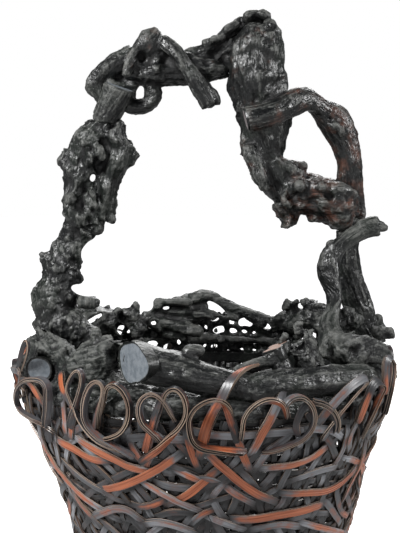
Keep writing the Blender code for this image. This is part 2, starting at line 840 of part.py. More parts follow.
def build_loops():
    """Each loop is one turn of strip seen on edge, which climbs outwards by its own width."""
    for number, (angle, height_share, size_share, tall) in enumerate(RIM_LOOPS, 1):
        turn = math.radians(angle)
        radius = LOOP_RADIUS * size_share
        pitch = STRIP_WIDTH + STRIP_GAP
        centre_height = height_share * WALL_TOP
        places = []
        across = []
        for step in range(-TAIL_STEPS, LOOP_STEPS + TAIL_STEPS + 1):
            share = step / LOOP_STEPS
            lap = math.radians(-90 + 360 * share)
            right = radius * math.cos(lap)
            up = radius * tall * math.sin(lap)
            past = step if step < 0 else step - LOOP_STEPS
            if not 0 <= step <= LOOP_STEPS:
                right = radius * TAIL_REACH_SHARE * past
                up = -radius * tall - radius * TAIL_DROP_SHARE * past * past
            height = centre_height + up
            reach = wall_radius(min(height / WALL_TOP, 1)) if share < 0.5 else MOUTH_RADIUS
            if step < 0:
                reach = wall_radius(height / WALL_TOP)
            reach += STRIP_GAP + STRIP_WIDTH / 2 + pitch * min(max(share, 0), 1)
            here = turn + right / MOUTH_RADIUS
            places.append(outward(here) * reach + Vector((0, 0, height)))
            across.append(outward(turn))
        mesh = ribbon("loop", places, across, STRIP_WIDTH, STRIP_THICKNESS)
        keep(f"rim_loop_{number:02d}", mesh, LOOP_BROWN, STRIP_ROUGHNESS)


def build_strips():
    """The bold strips that lie outermost on the wall."""
    for number, route in enumerate(OUTER_STRIPS, 1):
        points = [(math.radians(angle), share, 0, 0) for angle, share in route]
        stand = STRIP_GAP + STRIP_THICKNESS / 2
        places = []
        for turn, share, _, _ in smooth_route(points, STRIP_STEPS):
            reach = wall_radius(share) + stand
            places.append(outward(turn) * reach + Vector((0, 0, share * WALL_TOP)))
        across = []
        for index, place in enumerate(places):
            ahead = places[min(index + 1, len(places) - 1)] - places[max(index - 1, 0)]
            normal = outward(math.atan2(place.x, -place.y)) - Vector((0, 0, wall_lean(place.z)))
            across.append(normal.cross(ahead).normalized())
        mesh = ribbon("strip", places, across, STRIP_WIDTH, STRIP_THICKNESS)
        keep(f"outer_strip_{number:02d}", mesh, ORANGE_SKIN, STRIP_ROUGHNESS)


def build_wrap(joinery):
    """The strip that is wrapped over the front branch."""
    centre_angle, centre_radius, centre_height, girth = FRONT_BRANCH_SHARES[4]
    hug = girth * RIM_GIRTH + STRIP_GAP + STRIP_THICKNESS / 2
    places = []
    across = []
    for step in range(WRAP_STEPS):
        lap = math.radians(WRAP_START + WRAP_TURN * step)
        turn = math.radians(centre_angle + WRAP_ASIDE + WRAP_CLIMB * step)
        reach = centre_radius * MOUTH_RADIUS + hug * math.cos(lap)
        height = WALL_TOP + centre_height * RIM_GIRTH + hug * math.sin(lap)
        places.append(outward(turn) * reach + Vector((0, 0, height)))
        across.append((sideways(turn) - outward(turn) * WRAP_TWIST_SHARE).normalized())
    mesh = ribbon("wrap", places, across, STRIP_WIDTH, STRIP_THICKNESS)
    keep("branch_wrap_strip", mesh, ORANGE_SKIN, STRIP_ROUGHNESS)
    grown = ribbon("wrap", places, across, STRIP_WIDTH + 2 * GAP, STRIP_THICKNESS + 2 * GAP)
    joinery.add_cutter("branch_wrap_strip", grown)


def routes_at(place, *tables):
    return [[place(*row) for row in table] for table in tables]


def build_rim(joinery):
    def rim(name, *tables, colour=DARK_ROOT, **more):
        joinery.root(name, routes_at(rim_place, *tables), colour, on_rim=True, **more)

    cut_angle = math.radians(FRONT_BRANCH_SHARES[1][0])
    cut_place = rim_place(*FRONT_BRANCH_SHARES[1])[:3]
    cut_facing = outward(cut_angle) * SAWN_OUT_SHARE - sideways(cut_angle) * SAWN_LEFT_SHARE
    rim("rim_front_log", FRONT_LOG_SHARES, colour=GREY_ROOT)
    rim(
        "rim_front_branch",
        FRONT_BRANCH_SHARES,
        lumps=0.07,
        sides=3,
        sawn=(cut_place, cut_facing),
    )
    rim("rim_left_cut_branch", LEFT_CUT_BRANCH_SHARES, lumps=0.06, colour=GREY_ROOT)
    rim("rim_under_branch", UNDER_BRANCH_SHARES, steps=1)
    rim("rim_inner_root", INNER_ROOT_SHARES, lumps=0.3, colour=GREY_ROOT)
    rim("rim_left_root", LEFT_RIM_ROOT_SHARES, lumps=0.3, colour=GREY_ROOT)
    rim("rim_right_fan", RIGHT_FAN_SHARES, colour=GREY_ROOT)
    rim("rim_right_root", RIGHT_RIM_ROOT_SHARES)
    rim("rim_rough_knot", ROUGH_KNOT_SHARES, lumps=0.3)
    rim("rim_small_stub", SMALL_STUB_SHARES, STUB_EDGE_SHARES, lumps=0.06)
    rim("rim_back_base_root", BACK_BASE_SHARES, lumps=0.2, steps=1)
    rim("rim_back_left_root", BACK_LEFT_SHARES, BACK_LEFT_NUB_SHARES, lumps=0.3)
    rim("rim_back_right_root", BACK_RIGHT_SHARES, lumps=0.3)
    rim("rim_back_arch_root", BACK_ARCH_SHARES, lumps=0.2)


def build_handle(joinery):
    def root(name, *tables, colour=DARK_ROOT, **more):
        joinery.root(name, routes_at(handle_place, *tables), colour, **more)

    root("handle_right_burl", RIGHT_BURL_SHARES, steps=3, sides=4)
    root("handle_right_trunk", RIGHT_TRUNK_SHARES, sides=3)
    root("handle_side_loop", SIDE_LOOP_SHARES, colour=BROWN_ROOT, lumps=0.06, sides=3)
    root(
        "handle_right_knuckle",
        KNUCKLE_SHARES,
        KNUCKLE_LEFT_NUB_SHARES,
        KNUCKLE_RIGHT_NUB_SHARES,
        colour=BROWN_ROOT,
        lumps=0.2,
        sides=3,
    )
    root("handle_right_leg", RIGHT_LEG_SHARES, lumps=0.06, sides=3)
    root("handle_crook_branch", CROOK_SHARES, lumps=0.05, sides=3)
    root("handle_bark_tongue", BARK_TONGUE_SHARES, colour=BROWN_ROOT, steps=3)
    root("handle_left_burl", LEFT_BURL_SHARES, LEFT_BURL_NUB_SHARES, lumps=0.3, sides=3)
    root(
        "handle_left_root",
        LEFT_ROOT_SHARES,
        LEFT_SPUR_SHARES,
        LEFT_FOOT_SHARES,
        lumps=0.3,
        sides=3,
    )
    root("handle_left_flap", LEFT_FLAP_SHARES, LEFT_FLAP_NUB_SHARES, lumps=0.12)
    root("handle_left_neck", LEFT_NECK_SHARES, lumps=0.05, sides=3)
    root("handle_top_bar", TOP_BAR_SHARES, lumps=0.12, sides=3)
    root("handle_shoulder", SHOULDER_SHARES, lumps=0.08)
    root("handle_hooded_knob", HOOD_HEAD_SHARES, HOOD_LIMB_SHARES, lumps=0.05, steps=3)
    root("handle_cut_arm", CUT_ARM_SHARES, lumps=0.06)
    root("handle_hook", HOOK_SHARES, lumps=0.02)
    root("handle_top_vine", TOP_VINE_SHARES, lumps=0.08)


clear_scene()
fitted = Joinery()
build_body()
build_hoop(fitted)
build_wrap(fitted)
build_rim(fitted)
build_handle(fitted)
build_loops()
build_strips()
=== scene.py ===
import math
import random

import bmesh
import bpy
import numpy as np
from mathutils import Matrix, Vector, noise
from mathutils.bvhtree import BVHTree
from mathutils.kdtree import KDTree


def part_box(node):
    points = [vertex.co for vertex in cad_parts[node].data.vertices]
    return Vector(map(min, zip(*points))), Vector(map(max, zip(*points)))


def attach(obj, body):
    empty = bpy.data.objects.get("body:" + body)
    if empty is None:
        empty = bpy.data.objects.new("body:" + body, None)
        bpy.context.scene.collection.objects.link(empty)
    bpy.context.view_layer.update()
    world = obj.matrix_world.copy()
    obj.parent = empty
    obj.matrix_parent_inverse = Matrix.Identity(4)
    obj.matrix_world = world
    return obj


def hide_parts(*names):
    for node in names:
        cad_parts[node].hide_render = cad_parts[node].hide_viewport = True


# A bamboo flower basket: woven body, loops of strip round the mouth, and a rim and handle of
# gnarled root wood. Metres, in the frame of the CAD part.

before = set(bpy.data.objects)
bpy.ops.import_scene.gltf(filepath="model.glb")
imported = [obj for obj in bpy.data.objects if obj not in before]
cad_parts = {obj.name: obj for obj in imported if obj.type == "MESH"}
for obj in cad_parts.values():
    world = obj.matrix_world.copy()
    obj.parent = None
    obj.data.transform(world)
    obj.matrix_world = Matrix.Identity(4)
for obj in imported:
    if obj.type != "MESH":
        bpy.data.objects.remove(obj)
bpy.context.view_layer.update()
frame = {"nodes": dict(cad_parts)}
nodes = frame["nodes"]

# The photograph's camera
PHOTO_WIDTH = 400
PHOTO_HEIGHT = 533
FOCAL_PIXELS = 1033
CAMERA_PLACE = Vector((-0.0062, -0.80, 0.395))
CAMERA_TILT = math.radians(6.1)
SENSOR = 36

# Strips of split bamboo: width, thickness, how far apart plies lie in the wall and in the loops,
# and how far apart the points of a strip are
STRIP_WIDTH = 0.0044
PLY = 0.00055
PLY_PITCH = 0.00075
LOOP_PITCH = 0.0011
STEP = 0.0032

MM = 0.001
# A whole wave in radians, in which the start of a wave is drawn
WAVE = 6.28
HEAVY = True


# Places from the photograph
def sight(u, v):
    """The direction of the sight line through a pixel of the photograph."""
    right = Vector((1, 0, 0))
    up = Vector((0, math.sin(CAMERA_TILT), math.cos(CAMERA_TILT)))
    ahead = Vector((0, math.cos(CAMERA_TILT), -math.sin(CAMERA_TILT)))
    across = u - PHOTO_WIDTH / 2
    above = PHOTO_HEIGHT / 2 - v
    return (right * across + up * above + ahead * FOCAL_PIXELS).normalized()


def at(u, v, depth):
    """The point of a pixel's sight line at this depth from front to back."""
    ray = sight(u, v)
    return CAMERA_PLACE + ray * ((depth - CAMERA_PLACE.y) / ray.y)


def in_photo(places):
    """The pixels of the photograph where places are seen, and their distance ahead of the camera."""
    apart = places - np.array(CAMERA_PLACE)
    sine, cosine = math.sin(CAMERA_TILT), math.cos(CAMERA_TILT)
    ahead = apart[..., 1] * cosine - apart[..., 2] * sine
    above = apart[..., 1] * sine + apart[..., 2] * cosine
    scale = FOCAL_PIXELS / ahead
    return PHOTO_WIDTH / 2 + apart[..., 0] * scale, PHOTO_HEIGHT / 2 - above * scale, ahead


def in_hole(u, v, hole):
    """How far pixels are from a hole's middle, across it and along it, as shares of its size."""
    middle_u, middle_v, across, tall, tilt = hole
    cosine, sine = math.cos(math.radians(tilt)), math.sin(math.radians(tilt))
    right, down = u - middle_u, v - middle_v
    return (right * cosine + down * sine) / across, (down * cosine - right * sine) / tall


# Meshes, directions and paths
def points_of(mesh):
    places = np.empty(len(mesh.vertices) * 3)
    mesh.vertices.foreach_get("co", places)
    return places.reshape(-1, 3)


def normals_of(mesh):
    normals = np.empty(len(mesh.vertices) * 3)
    mesh.vertex_normals.foreach_get("vector", normals)
    return normals.reshape(-1, 3)


def mark_points(mesh, name, values):
    """Gives each point of a mesh a colour, from four columns, or a vector, from three."""
    kind, field = ("FLOAT_COLOR", "color") if values.shape[1] == 4 else ("FLOAT_VECTOR", "vector")
    mesh.attributes.new(name, kind, "POINT").data.foreach_set(field, values.ravel())


def mesh_from(shape, name):
    mesh = bpy.data.meshes.new(name)
    shape.to_mesh(mesh)
    shape.free()
    return mesh


def placed(name, data):
    """A new object in the scene."""
    item = bpy.data.objects.new(name, data)
    bpy.context.scene.collection.objects.link(item)
    return item


def tree_of(places):
    tree = KDTree(len(places))
    for index, place in enumerate(places):
        tree.insert(place, index)
    tree.balance()
    return tree


def unit(rows):
    """The rows as directions of length one."""
    return rows / np.linalg.norm(rows, axis=-1, keepdims=True)


def outward(turns):
    """Level directions out of the basket's axis, for turns that start at the front."""
    return np.stack([np.sin(turns), -np.cos(turns), np.zeros_like(turns)], axis=-1)


def run_of(points):
    """How far along a path each of its points is."""
    return np.concatenate([[0], np.cumsum(np.linalg.norm(np.diff(points, axis=0), axis=1))])


def phase(rng):
    """Where a wave starts, at random."""
    return rng.uniform(0, WAVE)


# The wall


def wall_section():
    """Heights of the wall and its outer radius there, read from the CAD wall."""
    places = points_of(nodes["woven_wall"].data)
    radii = np.hypot(places[:, 0], places[:, 1])
    heights = np.round(places[:, 2], 4)
    levels = np.unique(heights)
    return levels, np.array([radii[heights == level].max() for level in levels])


WALL_HEIGHTS, WALL_RADII = wall_section()
WALL_TOP = WALL_HEIGHTS[-1]
MOUTH_RADIUS = WALL_RADII[-1]
# How far up and down the corners of its section are rounded off
SOFTENING = 0.012
# How far along a sight line the front of the wall may be met, and how far out its strips lie
NEAREST_WALL = 0.60
FARTHEST_WALL = 0.90
STRIPS_OUT = 2 * MM


def wall_radius(height):
    """The wall's outer radius, with the corners of its section rounded off."""
    shifts = (-SOFTENING, 0, SOFTENING)
    return sum(np.interp(height + s, WALL_HEIGHTS, WALL_RADII) for s in shifts) / len(shifts)


def pushed(places, pushes):
    """The places after the pushes that bring an outline to the photograph's."""
    for u, v, depth, reach, right, down in pushes:
        centre = np.array(at(u, v, depth * MM))
        away = np.linalg.norm(places - centre, axis=-1)
        move = np.array(at(u + right, v + down, depth * MM)) - centre
        places = places + np.exp(-((away / (reach * MM)) ** 2))[..., None] * move
    return places


# Where the body isn't quite round: pixel and depth in millimetres, how far round it the push is
# felt in millimetres, and how many pixels it moves to the right and down
BODY_PUSHES = (
    (390, 396, 0, 46, -9, 0), (346, 520, 0, 44, 5, 0), (362, 480, 0, 30, 2, 0),
    (36, 438, 0, 34, 5, 0), (64, 508, 0, 34, 3, 0),
)


def on_wall(turns, heights, stand):
    """Points that stand off the wall, and the directions out of the wall there."""
    reach = wall_radius(heights) + stand
    lean = (wall_radius(heights + MM) - wall_radius(heights - MM)) / (2 * MM)
    out = outward(turns)
    places = out * reach[..., None]
    places[..., 2] = heights
    out[..., 2] = -lean
    return pushed(places, BODY_PUSHES), unit(out)


def wall_place(u, v):
    """The turn and height where a pixel's sight line meets the front of the wall."""
    ray = np.array(sight(u, v))
    reaches = np.linspace(NEAREST_WALL, FARTHEST_WALL, 600)
    places = np.array(CAMERA_PLACE) + reaches[:, None] * ray
    clear = np.hypot(places[:, 0], places[:, 1]) - wall_radius(places[:, 2]) - STRIPS_OUT
    inside = np.nonzero(clear < 0)[0]
    place = places[inside[0] if len(inside) else clear.argmin()]
    return math.atan2(place[0], -place[1]), place[2]


def smooth_path(points, fineness):
    """A smooth curve through the points: a row for each place, any number of columns."""
    points = np.asarray(points, float)
    ends = np.vstack([2 * points[0] - points[1], points, 2 * points[-1] - points[-2]])
    t = np.linspace(0, 1, fineness, endpoint=False)[:, None]
    pieces = []
    for before, start, end, after in zip(ends, ends[1:], ends[2:], ends[3:]):
        pieces.append(
            start
            + t * (end - before) / 2
            + t**2 * (2 * before - 5 * start + 4 * end - after) / 2
            + t**3 * (3 * start - before - 3 * end + after) / 2
        )
    return np.vstack(pieces + [points[-1:]])


def evened(path, measured, step):
    """The path with its rows spaced evenly, by the length of the measured columns."""
    along = run_of(measured)
    spots = np.linspace(0, along[-1], max(int(along[-1] / step), 4))
    return np.stack([np.interp(spots, along, column) for column in path.T], axis=1)


# Materials
class Number:
    """A number that varies over a surface, so that shader maths reads as plain arithmetic."""

    def __init__(self, nodes, socket):
        self.nodes = nodes
        self.socket = socket

    def maths(self, operation, *values, **settings):
        settings["operation"] = operation
        return self.nodes.add("ShaderNodeMath", settings, dict(enumerate(values)))

    def __add__(self, other):
        return self.maths("ADD", self, other)

    def __radd__(self, other):
        return self.maths("ADD", other, self)

    def __sub__(self, other):
        return self.maths("SUBTRACT", self, other)

    def __rsub__(self, other):
        return self.maths("SUBTRACT", other, self)

    def __mul__(self, other):
        return self.maths("MULTIPLY", self, other)

    def __rmul__(self, other):
        return self.maths("MULTIPLY", other, self)

    def __pow__(self, other):
        return self.maths("POWER", self, other)

    def __abs__(self):
        return self.maths("ABSOLUTE", self)

    def between(self, low, high):
        """0 below low, 1 above high, and smooth in between."""
        values = {0: self, 1: low, 2: high, 3: 0.0, 4: 1.0}
        return self.nodes.add("ShaderNodeMapRange", {"interpolation_type": "SMOOTHSTEP"}, values)

    def kept(self):
        """Held between 0 and 1."""
        return self.maths("ADD", self, 0.0, use_clamp=True)


class Nodes:
    """The nodes of a material or of the room, with one method that adds any of them."""

    def __init__(self, owner):
        owner.use_nodes = True
        self.tree = owner.node_tree

    def add(self, kind, settings=None, values=None, output=0):
        node = self.tree.nodes.new(kind)
        for setting, value in (settings or {}).items():
            setattr(node, setting, value)
        for socket, value in (values or {}).items():
            self.feed(node.inputs[socket], value)
        return Number(self, node.outputs[output])

    def feed(self, socket, value):
        if isinstance(value, Number):
            self.tree.links.new(value.socket, socket)
        elif socket.type == "RGBA":
            socket.default_value = (*value, 1.0)
        else:
            socket.default_value = value


class Finish(Nodes):
    """A material's nodes."""

    def __init__(self, name):
        self.material = bpy.data.materials.new(name)
        super().__init__(self.material)
        self.surface = self.tree.nodes["Principled BSDF"]

    def place(self):
        return self.add("ShaderNodeTexCoord", output="Object")

    def attribute(self, name, output="Fac"):
        return self.add("ShaderNodeAttribute", {"attribute_name": name}, output=output)

    def parts(self, name):
        """The red, green and blue of a colour attribute as numbers."""
        colour = self.attribute(name, "Color")
        split = self.add("ShaderNodeSeparateColor", values={0: colour})
        outputs = split.socket.node.outputs
        return [Number(self, outputs[k]) for k in range(3)]

    def stretched(self, vector, scale):
        return self.add("ShaderNodeMapping", values={"Vector": vector, "Scale": scale})

    def noise(self, vector, scale, detail=3.0, rough=0.55):
        values = {"Vector": vector, "Scale": scale, "Detail": detail, "Roughness": rough}
        return self.add("ShaderNodeTexNoise", values=values)

    def mix(self, share, under, over):
        """A colour between two, by its share of the second."""
        values = {0: share, 6: under, 7: over}
        return self.add("ShaderNodeMix", {"data_type": "RGBA"}, values, output=2)

    def bump(self, height, strength, distance, under=None):
        values = {"Height": height, "Strength": strength, "Distance": distance}
        if under is not None:
            values["Normal"] = under
        return self.add("ShaderNodeBump", values=values)

    def finish(self, **sockets):
        for name, value in sockets.items():
            self.feed(self.surface.inputs[name.replace("_", " ")], value)
        return self.material


def root_finish(name, brownness, greyness, gloss):
    """Old lacquered root wood: near black, red-brown where it is rubbed, with painted shade in its
    hollows, and dust and painted light on its heights and on faces that look up.
    """
    wood = Finish(name)
    place = wood.place()
    relief, sawn, warmth = wood.parts("wood")
    grain = wood.attribute("grain", "Vector")
    broad = wood.noise(place, 30.0, 3.0)
    patches = wood.noise(place, 85.0, 4.0)
    fine = wood.noise(place, 560.0, 4.0, 0.65)
    crumbs = wood.noise(place, 380.0, 2.0, 0.5)
    fibre = wood.noise(wood.stretched(grain, (560.0, 560.0, 45.0)), 1.0, 2.0, 0.5)
    wander = wood.noise(wood.stretched(grain, (260.0, 260.0, 70.0)), 1.0, 2.0, 0.6)
    veins = (1 - abs(wander - 0.5) * 22).kept()
    facing = wood.add("ShaderNodeNewGeometry", output="Normal")
    upward = wood.add("ShaderNodeSeparateXYZ", values={0: facing}, output=2)
    dark = wood.mix(fibre.between(0.35, 0.70), (0.0030, 0.0034, 0.0038), (0.0150, 0.0160, 0.0155))
    green = wood.mix(broad.between(0.45, 0.65), dark, (0.0120, 0.0155, 0.0125))
    rubbed = (warmth + brownness + (patches - 0.55) * 1.8).between(0.30, 0.85)
    warm = wood.mix(fibre.between(0.30, 0.75), (0.024, 0.011, 0.008), (0.125, 0.054, 0.036))
    coloured = wood.mix(rubbed, green, warm)
    # Grey on the heights: partly dust, partly painted light on ridges and on faces that look up
    dust_and_ridge_light = (relief - 0.5) * 1.7 + upward.between(-0.2, 0.9) * 0.25 + (fine - 0.5) * 2.0
    dust_and_ridge_light = dust_and_ridge_light + (broad - 0.5) * 1.5 + greyness + veins * 0.35 + (fibre - 0.5) * 0.8
    dust_and_light_grey = wood.mix(fibre.between(0.35, 0.65), (0.050, 0.053, 0.049), (0.125, 0.127, 0.118))
    dusty_and_lit = wood.mix(dust_and_ridge_light.between(0.20, 1.25) * 0.85, coloured, dust_and_light_grey)
    # Painted shade: the hollows are darkened towards black
    hollows = relief.between(0.14, 0.52)
    shaded = wood.mix((1 - hollows) * 0.95, dusty_and_lit, (0.0016, 0.0016, 0.0018))
    rings = wood.noise(place, 240.0, 3.0)
    end = wood.mix(rings.between(0.35, 0.65), (0.135, 0.155, 0.175), (0.195, 0.215, 0.235))
    end = wood.mix(warmth, end, (0.34, 0.21, 0.16))
    end = wood.mix(sawn.between(0.75, 0.98) * 0.5, end, (0.32, 0.34, 0.35))
    colour = wood.mix(sawn.between(0.30, 0.48), shaded, end)
    coarse_bump = wood.bump(patches, 0.3, 0.0014)
    relief_bump = wood.bump(crumbs + fibre * 0.9 + veins * 0.25, 0.65, 0.0008, coarse_bump)
    roughness = gloss + dust_and_ridge_light.between(0.2, 1.0) * 0.25 + (patches - 0.5) * 0.3 + (1 - hollows) * 0.3
    return wood.finish(Base_Color=colour, Roughness=roughness.kept(), Normal=relief_bump)


def strip_finish(name, pale_edge=False):
    """Smoked bamboo: dark grey-mauve, orange-brown where the skin shows, fine lengthwise fibre, and
    painted shade where a strip lies deep or under others.
    """
    strip = Finish(name)
    along = strip.add("ShaderNodeUVMap", {"uv_map": "run"})
    shine, shade, tint = strip.parts("strip")
    place = strip.place()
    across = strip.add("ShaderNodeSeparateXYZ", values={0: along}, output=1)
    border = abs(across * 2 - 1) ** 3
    fibre = strip.noise(strip.stretched(along, (9.0, 0.9, 1.0)), 3.0, 2.0, 0.55)
    streaks = strip.noise(strip.stretched(along, (24.0, 5.0, 1.0)), 1.0, 2.0, 0.55)
    patches = strip.noise(place, 110.0, 3.0)
    dark = strip.mix(tint**1.8, (0.012, 0.012, 0.013), (0.420, 0.430, 0.460))
    dark = strip.mix(fibre.between(0.35, 0.70) * 0.55, dark, (0.010, 0.010, 0.011))
    dark = strip.mix(patches.between(0.42, 0.74) * 0.7, dark, (0.086, 0.052, 0.050))
    skin = strip.mix(streaks.between(0.3, 0.75), (0.20, 0.048, 0.020), (0.50, 0.146, 0.060))
    skin = strip.mix(tint * 0.25, skin, (0.60, 0.22, 0.115))
    orange = shine * 1.5 + (patches - 0.5) * 1.3 + (fibre - 0.5) * 0.9 - border * 0.35 - 0.11
    orange = orange.between(0.18, 1.02)
    colour = strip.mix(orange, dark, skin)
    colour = strip.mix(streaks.between(0.66, 0.82) * 0.25, colour, (0.27, 0.24, 0.23))
    # Painted shade: the colour goes towards black by the strip's shade mark
    colour = strip.mix(shade.between(0.0, 0.9) * 0.91, colour, (0.0035, 0.0033, 0.0036))
    if pale_edge:
        bare = strip.mix(streaks.between(0.3, 0.7), (0.16, 0.090, 0.060), (0.50, 0.38, 0.28))
        # The pale cut edges are dimmed where there is painted shade
        colour = strip.mix(0.75 - shade * 0.6, colour, bare)
    roughness = 0.29 + (1 - orange) * 0.06 + (streaks - 0.5) * 0.3
    bump = strip.bump(fibre * 1.5 + streaks, 0.45, 0.0004)
    return strip.finish(Base_Color=colour, Roughness=roughness.kept(), Normal=bump)


# Strips of bamboo. How the plies of one differ, with lengths in millimetres: its width at the ends
# as a share of the rest and how long it tapers, how far a ply may lie to the side, how much the
# plies part, how far the middle of a ply is raised, how much duller the lower ones are, and how much
# painted shade they get
END_WIDTH = 0.55
TAPER = 4
ASKEW = 0.45
PARTING = 0.35
CROWN = 0.10
LOWER_SHINE = 0.55
LOWER_SHADE = 0.12


def ribbon_frames(places, normals, twists):
    """Directions across a strip and out of its face, turned by its twist from flat to on edge."""
    ahead = unit(np.gradient(places, axis=0))
    flat = unit(np.cross(normals, ahead))
    face = np.cross(ahead, flat)
    cosine = np.cos(twists)[:, None]
    sine = np.sin(twists)[:, None]
    return flat * cosine + face * sine, face * cosine - flat * sine


class Bundle:
    """Strips that end up in one mesh: rows of three points across each ply."""

    def __init__(self):
        self.rows = []
        self.starts = []
        self.marks = []
        self.lengths = []
        self.count = 0

    def lay(self, places, normals, twists, width, plies, pitch, shine, shade, tint, rng, fan=0.25):
        """Adds a strip of several plies, which lie a little askew on one another."""
        across, out = ribbon_frames(places, normals, twists)
        spots = run_of(places)
        ends = np.minimum(spots, spots[-1] - spots)
        narrowing = np.clip(END_WIDTH + ends / (TAPER * MM), 0, 1)
        for ply in range(plies):
            level = (plies - 1) / 2 - ply
            start = phase(rng)
            drift = np.sin(spots * rng.uniform(25, 60) + start) * fan * MM
            spread = 1 + PARTING * np.sin(spots * rng.uniform(20, 45) + start * 2)
            middle = places + out * (level * pitch * spread)[:, None]
            middle = middle + across * (drift + rng.uniform(-ASKEW, ASKEW) * MM)[:, None]
            half = across * (width * rng.uniform(0.92, 1.04) / 2 * narrowing)[:, None]
            skin = shine * (1 if ply == 0 else LOWER_SHINE)
            # The second mark is painted shade, more on the lower plies
            marks = [skin, shade + LOWER_SHADE * ply, np.full(len(places), tint)]
            self.starts.append(self.count)
            self.rows.append(np.stack([middle - half, middle + out * (CROWN * MM), middle + half], 1))
            self.marks.append(np.stack(marks, 1))
            self.lengths.append(spots + rng.uniform(0, 3))
            self.count += len(places)

    def make(self, name, *replaced, slot):
        """The strips as one piece with thickness and pale cut edges."""
        rows = np.concatenate(self.rows)
        marks = np.concatenate(self.marks)
        lengths = np.concatenate(self.lengths)
        shape = bmesh.new()
        bmesh.ops.create_grid(shape, x_segments=self.count - 1, y_segments=2, size=1)
        mesh = mesh_from(shape, name)
        grid = points_of(mesh)
        row = np.rint((grid[:, 0] + 1) / 2 * (self.count - 1)).astype(int)
        side = np.rint(grid[:, 1] + 1).astype(int)
        mesh.vertices.foreach_set("co", rows[row, side].ravel())
        colours = np.ones((len(row), 4))
        colours[:, :3] = np.clip(marks[row], 0, 1)
        mark_points(mesh, "strip", colours)
        corners = np.empty(len(mesh.loops), int)
        mesh.loops.foreach_get("vertex_index", corners)
        spots = np.stack([lengths[row[corners]], side[corners] / 2], 1)
        mesh.uv_layers.new(name="run").data.foreach_set("uv", spots.ravel())
        first = np.zeros(self.count, bool)
        first[self.starts] = True
        shape = bmesh.new()
        shape.from_mesh(mesh)
        last = {face: max(row[corner.index] for corner in face.verts) for face in shape.faces}
        joins = [face for face in shape.faces if first[last[face]]]
        bmesh.ops.delete(shape, geom=joins, context="FACES")
        shape.to_mesh(mesh)
        shape.free()
        item = placed(name, mesh)
        mesh.materials.append(SMOKED_STRIP)
        mesh.materials.append(SPLIT_EDGE)
        solid = item.modifiers.new("ply", "SOLIDIFY")
        solid.thickness = PLY
        solid.offset = 0
        solid.material_offset_rim = 1
        settle(item)
        item.data.shade_smooth()
        item.data.set_sharp_from_angle(angle=math.radians(40))
        return show(item, slot, *replaced)


def settle(item):
    """Applies the piece's modifiers to its mesh."""
    graph = bpy.context.evaluated_depsgraph_get()
    mesh = bpy.data.meshes.new_from_object(item.evaluated_get(graph))
    old = item.data
    item.modifiers.clear()
    item.data = mesh
    bpy.data.meshes.remove(old)
    mesh.name = item.name


def show(item, slot, *replaced):
    """Says what a finished piece rides on and the solids it stands for; its slot is not used."""
    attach(item, "root")
    if replaced:
        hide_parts(*replaced)
    return item


# The weave
class Strand:
    """One strip of the wall, as turns and heights, with how far out it wants to lie."""

    def __init__(self, turns, heights, rank, shine, tint, kind, width=STRIP_WIDTH, plies=2):
        measured, _ = on_wall(turns, heights, np.zeros(len(turns)))
        columns = [np.broadcast_to(column, len(turns)) for column in (turns, heights, rank, shine)]
        self.turns, self.heights, self.rank, self.shine = evened(np.stack(columns, 1), measured, STEP).T
        self.tint = tint
        self.kind = kind
        self.width = width
        self.plies = plies


def ends_under(count, peak, low, share=0.22):
    """A rank that is high along the middle of a strip and dips under its neighbours at the ends."""
    s = np.linspace(0, 1, count)
    edge = np.clip(np.minimum(s, 1 - s) / share, 0, 1)
    return low + (peak - low) * edge * edge * (3 - 2 * edge)


